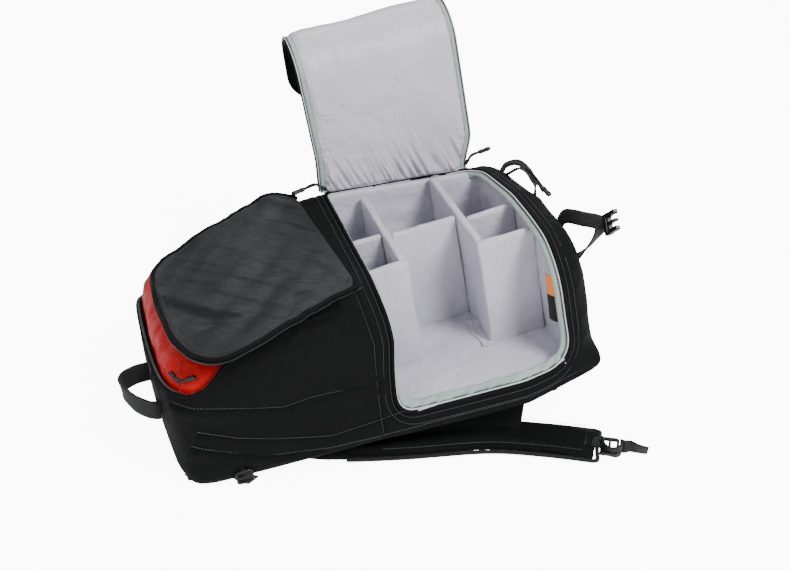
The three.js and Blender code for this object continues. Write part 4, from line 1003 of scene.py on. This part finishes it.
for i, ring in enumerate(bag_rows):
    for j, (x, y, z) in enumerate(ring):
        qx, qy = abs(x + 219) - 50, abs(y) - 58
        hole = 20 - math.hypot(max(qx, 0), max(qy, 0)) - min(max(qx, qy), 0)
        bag_away[i, j] = min(hole, z - 90)
        shown = smoothstep(z - mouth_height(x), -4, 10) * (1 - smoothstep(x, -150, -128))
        near = max(-y, 0) / 120
        push = shown * (2.2 + 2.4 * wave(x, y, z, (30, 26, 18), 12) + 1.2 * wave(x, y + z, z, (10, 12, 9), 13))
        out = np.array((-0.5 if x < -345 else 0.0, y / 110, 0.4 * near + 0.3))
        out /= np.linalg.norm(out)
        bag_rows[i, j] += out * push
bag_points, bag_faces = cut_grid(bag_rows, bag_away)
red_bag = make_piece("day_red_lining", bag_points, bag_faces, red_nylon, thickness=1.4)


def mouth_line(inset=0.0, rise=0.0, near_from=-246.0):
    """The zip line round the day compartment's mouth: down the near side, across the top end, up the far side."""
    line = []
    for x in np.linspace(near_from, TOP_END + 8, 50):
        line.append((x, near_wall(x, mouth_height(x), inset), mouth_height(x) + rise))
    z = mouth_height(TOP_END)
    y0 = line[-1][1]
    y1 = float(np.interp(z, arch_half(TOP_END + 8, 1)[FOOT - 1:-6, 1], arch_half(TOP_END + 8, 1)[FOOT - 1:-6, 0]))
    for t in np.linspace(0, 1, 26)[1:-1]:
        line.append((TOP_END + 8 - 4.5 * math.sin(math.pi * t) ** 0.5 + inset, y0 + (y1 - y0) * t, z + rise))
    for x in np.linspace(TOP_END + 8, near_from, 40):
        half = arch_half(x, 1, inset)[FOOT - 1:-6]
        line.append((x, float(np.interp(mouth_height(x), half[:, 1], half[:, 0])), mouth_height(x) + rise))
    return smoothed(evened(line, 220), 4)


mouth_roll = tube_piece("day_mouth_binding", mouth_line(-0.8), 2.1, black_nylon)
mouth_teeth = repeated("day_mouth_teeth", [mouth_line(1.0, 2.6)], tooth_tree, zip_coil, 1.9, 2.6, 0.5)
seam_path = [(x, y, arch_height(x, y, 4.6) + 3.0) for x, y in ((-322, -92), (-330, -98), (-337, -105), (-341, -112), (-343, -119))]
corner_piping = tube_piece("day_corner_piping", evened(seam_path, 14), 1.0, dark_red)
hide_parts("day_liner")
for piece, slot in ((red_bag, "red_lining"), (mouth_roll, "black_nylon"), (mouth_teeth, "black_plastic"),
                    (corner_piping, "red_lining")):
    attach(piece, "root")


# Flap over the day compartment: one sheet of coated nylon, sewn down beside the camera cell and bound round
# its free edge. It lies on the full bag, and broad creases run across it from its hinge.
coated_nylon = cloth_material("coated_charcoal_nylon", "#050608", "#101216", 0.42, 700.0, 0.3, crease_scale=12.0,
                              sheen=0.0, specular=0.24)
FLAP_OUTLINE = [(-139, 128), (-152, 145), (-172, 157), (-194, 151), (-224, 134), (-279, 112), (-320, 89),
                (-335, 63), (-338, 0), (-333, -74), (-318, -122), (-301, -144), (-281, -151), (-257, -146),
                (-207, -124), (-166, -106), (-121, -88)]
FLAP_MIDDLE = np.array((-215.0, 15.0))


def flap_height(x, y):
    away = min(max((-121 - x) / 70, 0), 1)
    over = min(max(x, -322), -119)
    return arch_height(over, min(max(y, -84), 112)) + 3.2 + 4 * away * (2 - away)


def flap_point(x, y, above=0.0):
    """A point on the flap's upper side, with its creases."""
    out = math.hypot(x - FLAP_MIDDLE[0], y - FLAP_MIDDLE[1])
    broad = 5.0 * wave(x + 0.7 * y, y, 0, (34, 150, 9), 5) + 3.0 * wave(x - 0.8 * y, y, 0, (38, 90, 9), 8)
    fine = 1.3 * wave(x + 0.9 * y, y, 0, (12, 46, 9), 15) + 0.5 * wave(x, y + 0.4 * x, 0, (34, 9, 9), 16)
    lie = smoothstep(-121 - x, 0, 30)
    rim = 1 - 0.75 * smoothstep(out, 110, 165)
    return np.array((x, y, flap_height(x, y) + above + (broad + fine) * lie * rim))


def smooth_outline(points, count, share=1.0, closed=True):
    ring = smoothed(evened(points, 240, closed=closed), 14, closed=closed)
    ring = FLAP_MIDDLE + (ring - FLAP_MIDDLE) * share
    return evened(ring, count, closed=closed)


flap_ring = smooth_outline(FLAP_OUTLINE, 240)
flap_rows = [[flap_point(*(FLAP_MIDDLE + (p - FLAP_MIDDLE) * s)) for p in flap_ring] for s in np.linspace(0, 1, 70)]
day_flap = grid_piece("day_flap_sheet", flap_rows, coated_nylon, closed_columns=True, thickness=1.3)
free_edge = smooth_outline(FLAP_OUTLINE, 200, closed=False)


def flap_line(share, above):
    return np.array([flap_point(*(FLAP_MIDDLE + (p - FLAP_MIDDLE) * share), above) for p in free_edge])


flap_roll = tube_piece("flap_edge_binding", flap_line(1.008, -0.8), 2.7, black_nylon, flatten=0.9)
flap_teeth = repeated("flap_zip_teeth", [flap_line(1.03, -3.6)], tooth_tree, zip_coil, 1.9, 2.6, 0.5)
flap_tape = grid_piece("flap_zip_tape", [flap_line(s, a) for s, a in ((1.0, -2.2), (1.012, -3.4), (1.026, -4.4))],
                       black_nylon, thickness=0.8)
flap_stitches = repeated("flap_stitches", [flap_line(0.955, 0.15)], stitch_tree, black_thread, 3.4, 2.4, 0.42)
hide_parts("day_flap")
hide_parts("flap_binding")
for piece, slot in ((day_flap, "coated_nylon"), (flap_roll, "black_webbing"), (flap_teeth, "black_plastic"),
                    (flap_tape, "black_nylon"), (flap_stitches, "black_webbing")):
    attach(piece, "root")


# Haul handle at the top end: a flat loop of 25 mm webbing, folded at its tip, with its ends sewn into the
# seam by box stitches. Beside it hangs a small moulded strap ring.
def curve_through(points, count):
    """Points along a smooth curve through given ones."""
    p = np.asarray(points, float)
    p = np.vstack([2 * p[0] - p[1], p, 2 * p[-1] - p[-2]])
    line = []
    for i in range(1, len(p) - 2):
        for t in np.linspace(0, 1, 12, endpoint=False):
            a, b, c, d = p[i - 1:i + 3]
            line.append(0.5 * (2 * b + (c - a) * t + (2 * a - 5 * b + 4 * c - d) * t * t + (3 * b - a - 3 * c + d) * t ** 3))
    return evened(np.vstack([line, p[-2:-1]]), count)


def webbing_piece(name, points, across, width, thickness, material, count=60, ribs=0.25, frame_of=PACK_FRAME):
    """Flat webbing along a smooth curve, with the direction of its width given along it."""
    line = curve_through(points, count)
    across = np.asarray(across, float)
    tangents = np.gradient(line, axis=0)
    tangents /= np.linalg.norm(tangents, axis=1)[:, None]
    rows = []
    for k, (p, t) in enumerate(zip(line, tangents)):
        place = k / (count - 1) * (len(across) - 1)
        side = np.array([np.interp(place, range(len(across)), across[:, c]) for c in range(3)])
        side = side - t * side.dot(t)
        side /= np.linalg.norm(side)
        out = np.cross(t, side)
        half, thick = width / 2, thickness / 2 * (1 + ribs * (k % 2))
        rows.append([p + side * half * a + out * thick * b for a, b in (
            (-1, -0.4), (-0.93, -1), (-0.5, -1), (0, -1), (0.5, -1), (0.93, -1), (1, -0.4),
            (1, 0.4), (0.93, 1), (0.5, 1), (0, 1), (-0.5, 1), (-0.93, 1), (-1, 0.4))])
    faces = grid_faces(count, 14, closed_columns=True)
    faces += [tuple(range(14)), tuple((count - 1) * 14 + j for j in range(14))]
    return make_piece(name, np.array(rows).reshape(-1, 3), faces, material, frame_of=frame_of)


def rounded_copy(name, node, material, edge):
    """A CAD node's shape with its edges rounded."""
    made = mesh_object(name, cad_shape(node), material)
    bevel = made.modifiers.new("edges", "BEVEL")
    bevel.width, bevel.segments, bevel.limit_method, bevel.angle_limit = edge / 1000, 3, "ANGLE", math.radians(40)
    applied(made)
    for face in made.data.polygons:
        face.use_smooth = face.area < 0.0000015
    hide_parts(node)
    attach(made, "root")
    return made


black_acetal = plastic_material("black_acetal", "#0a0b0c", 0.36)
root_x = TOP_END - 0.6
handle_points = [(root_x - 34 * a, -41 - 44 * b, 91.9 - 25 * c) for a, b, c in (
    (0, 0, 0), (0.15, 0, -0.02), (0.5, 0.05, -0.08), (0.9, 0.2, -0.08), (1, 0.43, 0.08), (0.75, 0.75, 0.48),
    (0.4, 0.93, 0.84), (0.15, 1, 0.96), (0, 1, 1))]
handle = webbing_piece("haul_handle_webbing", handle_points, [(0, 0, 1), (0, 0, 1)], 25, 2.4, black_webbing, count=110)
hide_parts("haul_handle")
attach(handle, "root")
handle_line = curve_through(handle_points, 90)
handle_rows = [[p + np.array((0, 0, h)) + np.array((-1.6 if k < 30 else 0, -1.7 if k > 40 else 0, 0))
                for k, p in enumerate(handle_line)][6:84] for h in (-10.5, 10.5)]
handle_stitches = repeated("haul_handle_stitches", handle_rows, stitch_tree, black_thread, 3.2, 2.3, 0.4)
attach(handle_stitches, "root")
rounded_copy("top_strap_ring", "top_ring", black_acetal, 0.8)
ring_strap = webbing_piece("ring_webbing", [(TOP_END + 3, -62, 65), (TOP_END - 2.5, -67, 61), (TOP_END - 4.8, -71, 57),
                                            (TOP_END - 2.8, -66, 51), (TOP_END + 4, -60, 49)],
                           [(0, 0.67, -0.74), (0, 0.67, -0.74)], 13, 1.6, black_webbing, count=30)
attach(ring_strap, "root")

# Compression straps at the pack's lower left: short webbing sewn into the back seam, each with a triglide
# buckle pressed against the cloth where the pack meets the floor.
for k, (x, y, z, lean) in enumerate(((-352, -112, -6, 0.5), (-300, -136, -14, 0.25))):
    strap_points = [(x - 6 + 14 * t, y - 4 - 2.5 * math.sin(math.pi * t), z + 4 - 16 * t) for t in np.linspace(0, 1, 5)]
    strap = webbing_piece(f"compression_webbing_{k + 1}", strap_points, [(0.9, -0.2, 0.4), (0.9, -0.2, 0.4)], 18, 1.7,
                          black_webbing, count=24)
    glide_line = [(x - 9 + 3 * a, y - 7.4, z - 1 + 6 * b) for a, b in ((0, -1), (0, 1), (1, 1.3), (5, 1.3), (6, 1),
                                                                       (6, -1), (5, -1.3), (1, -1.3))]
    glide = tube_piece(f"triglide_{k + 1}", evened(glide_line, 40, closed=True), 1.5, black_acetal, closed=True)
    bar = tube_piece(f"triglide_bar_{k + 1}", [(x - 9 + 18 * t, y - 7.6, z - 1) for t in np.linspace(0, 1, 6)], 1.3, black_acetal)
    for piece, slot in ((strap, "black_webbing"), (glide, "black_plastic"), (bar, "black_plastic")):
        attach(piece, "root")


# Harness under the pack: a back pad and a lumbar pad on the flat back, two hip wings folded in under them, and
# two shoulder straps that lie on the floor. All are foam in black nylon, bound round their edges.
pad_nodes = ["back_pad", "lumbar_pad", "near_hip_wing", "far_hip_wing", "near_shoulder_strap", "far_shoulder_strap"]
harness_pads = [mesh_object("padded_" + node, cad_shape(node), black_nylon) for node in pad_nodes]
puffed([(made, 0.0055, 0.0016, 4.0, 0.005) for made in harness_pads])
for k, (node, made) in enumerate(zip(pad_nodes, harness_pads)):
    uneven(made, 0.0012, (40, 32, 20), 41 + k)
    uneven(made, 0.0006, (13, 15, 12), 51 + k)
    for v in made.data.vertices:
        v.co.z = max(v.co.z, 0.0003)
    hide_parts(node)
    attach(made, "root")

STRAP_RUN = [(-272, -64), (-180, -102), (-105, -121), (-4, -139), (61, -165), (120, -196)]
for side, word, splay in ((-1, "near", 1.0), (1, "far", 0.94)):
    run = curve_through([(x, side * abs(y) * splay, 0) for x, y in STRAP_RUN], 80)
    heading = np.gradient(run, axis=0)
    heading /= np.linalg.norm(heading, axis=1)[:, None]
    sideways = np.stack([-heading[:, 1], heading[:, 0], np.zeros(len(run))], 1)
    edges = []
    for s in (-1, 1):
        edge = run + sideways * s * 29.8 + np.array((0, 0, 6.5))
        edges.append(edge[22:] if s * side > 0 else edge[14:])
    end = np.vstack([edges[0][-1:], run[-1:] - heading[-1] * 4.0 + np.array((0, 0, 7.0)), edges[1][-1:]])
    bound = np.vstack([edges[0], evened(end, 12)[1:-1], edges[1][::-1]])
    binding = tube_piece(f"{word}_strap_binding", smoothed(evened(bound, 170), 2), 2.6, black_webbing, frame_of=FLOOR_FRAME)
    seam = [run[30:76] + sideways[30:76] * s * 24.0 + np.array((0, 0, 16.4)) for s in (-1, 1)]
    seams = repeated(f"{word}_strap_stitches", seam, stitch_tree, black_thread, 3.4, 2.4, 0.42, frame_of=FLOOR_FRAME)
    patch_at, patch_dir = run[-9], heading[-9]
    patch_side = np.array((-patch_dir[1], patch_dir[0], 0))
    patch_rows = [[patch_at + patch_dir * a + patch_side * b + np.array((0, 0, 15.9 + 0.9 * math.cos(b / 16)))
                   for b in np.linspace(-13, 13, 12)] for a in np.linspace(-18, 26, 18)]
    patch = grid_piece(f"{word}_strap_end_webbing", patch_rows, black_webbing, thickness=1.5, frame_of=FLOOR_FRAME)
    lock = rounded_copy(f"{word}_ladder_lock_plastic", f"{word}_ladder_lock", black_acetal, 0.7)
    start = run[-1] + heading[-1] * 22.9
    along, turn_to = heading[-1], sideways[-1] * side
    leaning = [np.array((0, 0, 1)) + turn_to * b for b in (0, 0.2, 0.45, 0.6)]
    tail_points = [start + along * a + turn_to * b + np.array((0, 0, 11.0 - c)) for a, b, c in
                   ((0, 0, 0), (6, 1, 0), (13, -1, 0), (20, 1, 0.3), (27, 2, 0.7), (33, 2, 1))]
    tail = webbing_piece(f"{word}_strap_webbing_tail", tail_points, leaning, 19.8, 1.8, black_webbing, count=60,
                         frame_of=FLOOR_FRAME)
    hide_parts(f"{word}_strap_tail")
    anchor = webbing_piece(f"{word}_strap_end_loop", [run[-1] + heading[-1] * a + np.array((0, 0, 11.5)) for a in
                                                      (-16, -8, 0, 5)], [sideways[-1]] * 2, 18, 3.0, black_webbing,
                           count=20, frame_of=FLOOR_FRAME)
    slack = webbing_piece(f"{word}_strap_slack", [run[-1] + along * a + turn_to * b + np.array((0, 0, 10.5)) for a, b in
                                                  ((2, -3), (6, 9), (15, 14), (23, 10), (25, 2))],
                          [(0, 0, 1), turn_to * 0.4 + np.array((0, 0, 1)), (0, 0, 1)], 19, 1.8, black_webbing,
                          count=44, frame_of=FLOOR_FRAME)
    # A black nylon sheet from each strap up to the pack's near bottom edge: painted shade. It is a dark sheet put in
    # the shadowed gap under the pack's edge, where only the shaded underside and hip wing show.
    onto_floor = FLOOR_FRAME.inverted() @ PACK_FRAME
    shade_sheet_rows = []
    for k in range(30, 62):
        low = run[k] + np.array((0, 0, 12.0))
        high = np.array(onto_floor @ Vector((low[0] + 8, side * 142, BACK_Z + 3)))
        shade_sheet_rows.append([low + (high - low) * t - sideways[k] * side * 7 * math.sin(math.pi * t) * (k - 30) / 30
                         for t in np.linspace(0, 1, 16)])
    shade_sheet = grid_piece(f"{word}_strap_web", shade_sheet_rows, black_nylon, thickness=1.4, frame_of=FLOOR_FRAME)
    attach(shade_sheet, "root")
    for piece in (binding, seams, patch, tail, anchor, slack):
        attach(piece, "root")


# Prong buckle of the bottom end, hanging on a loop of its webbing that stands off the cloth, and a narrow
# webbing loop on the edge beside it.
def off_bottom(out, y, up):
    return (BOTTOM_END + out, y, BACK_Z + DEPTH * 0.76 + up)


buckle_strap = webbing_piece("buckle_strap", [off_bottom(*p) for p in (
    (2.7, -30, 4.2), (9, -40, 18.2), (19, -72, 27.2), (26, -98, 34.2), (26, -106, 32.2), (17, -106, 19.2),
    (5, -100, 3), (-9, -96, -7))], [(0, 1, 0), (0.3, 0.5, 1), (0.7, 0.1, 1), (0.8, 0, 0.9), (0.9, 0.2, 0.3), (0.5, 0.6, -0.3),
                          (0, 1, -0.2)], 17.6, 1.8, black_webbing, count=110)
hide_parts("buckle_webbing")
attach(buckle_strap, "root")
rounded_copy("prong_buckle_plastic", "prong_buckle", black_acetal, 0.9)
loop_strap = webbing_piece("edge_loop_webbing", [
    (126, 112, arch_height(126, 112) + 1.5), (134, 113, arch_height(134, 113) + 18)] + [off_bottom(*p) for p in (
        (5, 103, 26.2), (11, 84, 20.2), (10, 64, 11.2), (1.6, 48, -4.8))],
    [(0.3, 1, 0.5), (0.5, 0.7, 0.3), (0.2, 0.9, 0.2)], 9, 1.8, black_webbing, count=80)
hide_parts("edge_webbing_loop")
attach(loop_strap, "root")


# Zip pulls: each slider carries a doubled cord that ends in a moulded grip. Two lie at the ends of the lid's
# hinge, one at the day compartment's corner, and one at the bottom end beside the webbing loop.
black_cord = cloth_material("black_braided_cord", "#08090a", "#121314", 0.6, 1300.0, 0.1, weave_height=1.0)


def zip_pull(word, node, points, grip_length, spread):
    line = curve_through(points, 40)
    tangent = line[-1] - line[-2]
    tangent /= np.linalg.norm(tangent)
    side = np.cross(tangent, (0.2, 0.3, 1.0))
    side /= np.linalg.norm(side)
    t = np.linspace(0, 1, 40)[:, None]
    strands = []
    for s in (-1, 1):
        strands.append(line + side * s * (spread * np.sin(math.pi * t) + 1.6))
    loop = np.vstack([strands[0], strands[1][::-1]])
    cord = tube_piece(f"{word}_cord", loop, 1.3, black_cord)
    grip_line = [line[-1] + tangent * d for d in np.linspace(-2.0, grip_length - 2.0, 12)]
    radii = 4.1 * np.array((0.45, 0.8, 0.95, 1.0, 0.92, 0.9, 0.9, 0.92, 1.0, 1.02, 0.9, 0.5))
    grip = tube_piece(f"{word}_grip", grip_line, radii, black_acetal, sides=12, flatten=0.72)
    start = line[0]
    ahead = line[3] - line[0]
    ahead /= np.linalg.norm(ahead)
    slider_line = [start - ahead * 6 + ahead * d for d in (0, 2, 5, 9, 10.5)]
    slider = tube_piece(f"{word}_slider", slider_line, np.array((1.6, 3.4, 3.6, 3.2, 1.4)), black_acetal, sides=10, flatten=0.6)
    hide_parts(node)
    for piece in (cord, grip, slider):
        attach(piece, "root")


def on_front(x, y, above):
    return (x, y, arch_height(x, y) + above)


hinge_right, hinge_left = arch_height(84, 128) + 1.1, arch_height(-100, 128) + 1.1
zip_pull("lid_pull_right", "lid_pull_right", [(87.5, 129, hinge_right + 9), (94, 127, hinge_right + 17),
                                              (104, 125.5, hinge_right + 19)], 17, 2.6)
zip_pull("lid_pull_left", "lid_pull_left", [(-101.8, 129, hinge_left + 6), (-112, 127, hinge_left + 15),
                                            (-127, 125.5, hinge_left + 14)], 19, 3.0)
zip_pull("day_pull", "day_pull", [on_front(-344, -108, 5.0), on_front(-340, -116, 6.0), on_front(-331, -120, 6.0)], 13, 1.8)
zip_pull("bottom_pull", "bottom_pull", [on_front(126, 92, 3.0), (139, 62, 152), (148, 24, 140)], 18, 2.2)
second_line = curve_through([on_front(128, 104, 14), (139, 82, 150), (146, 50, 146), (147, 22, 136)], 50)
cord_pair = tube_piece("bottom_pull_second_cord", second_line, 1.5, black_cord)
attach(cord_pair, "root")
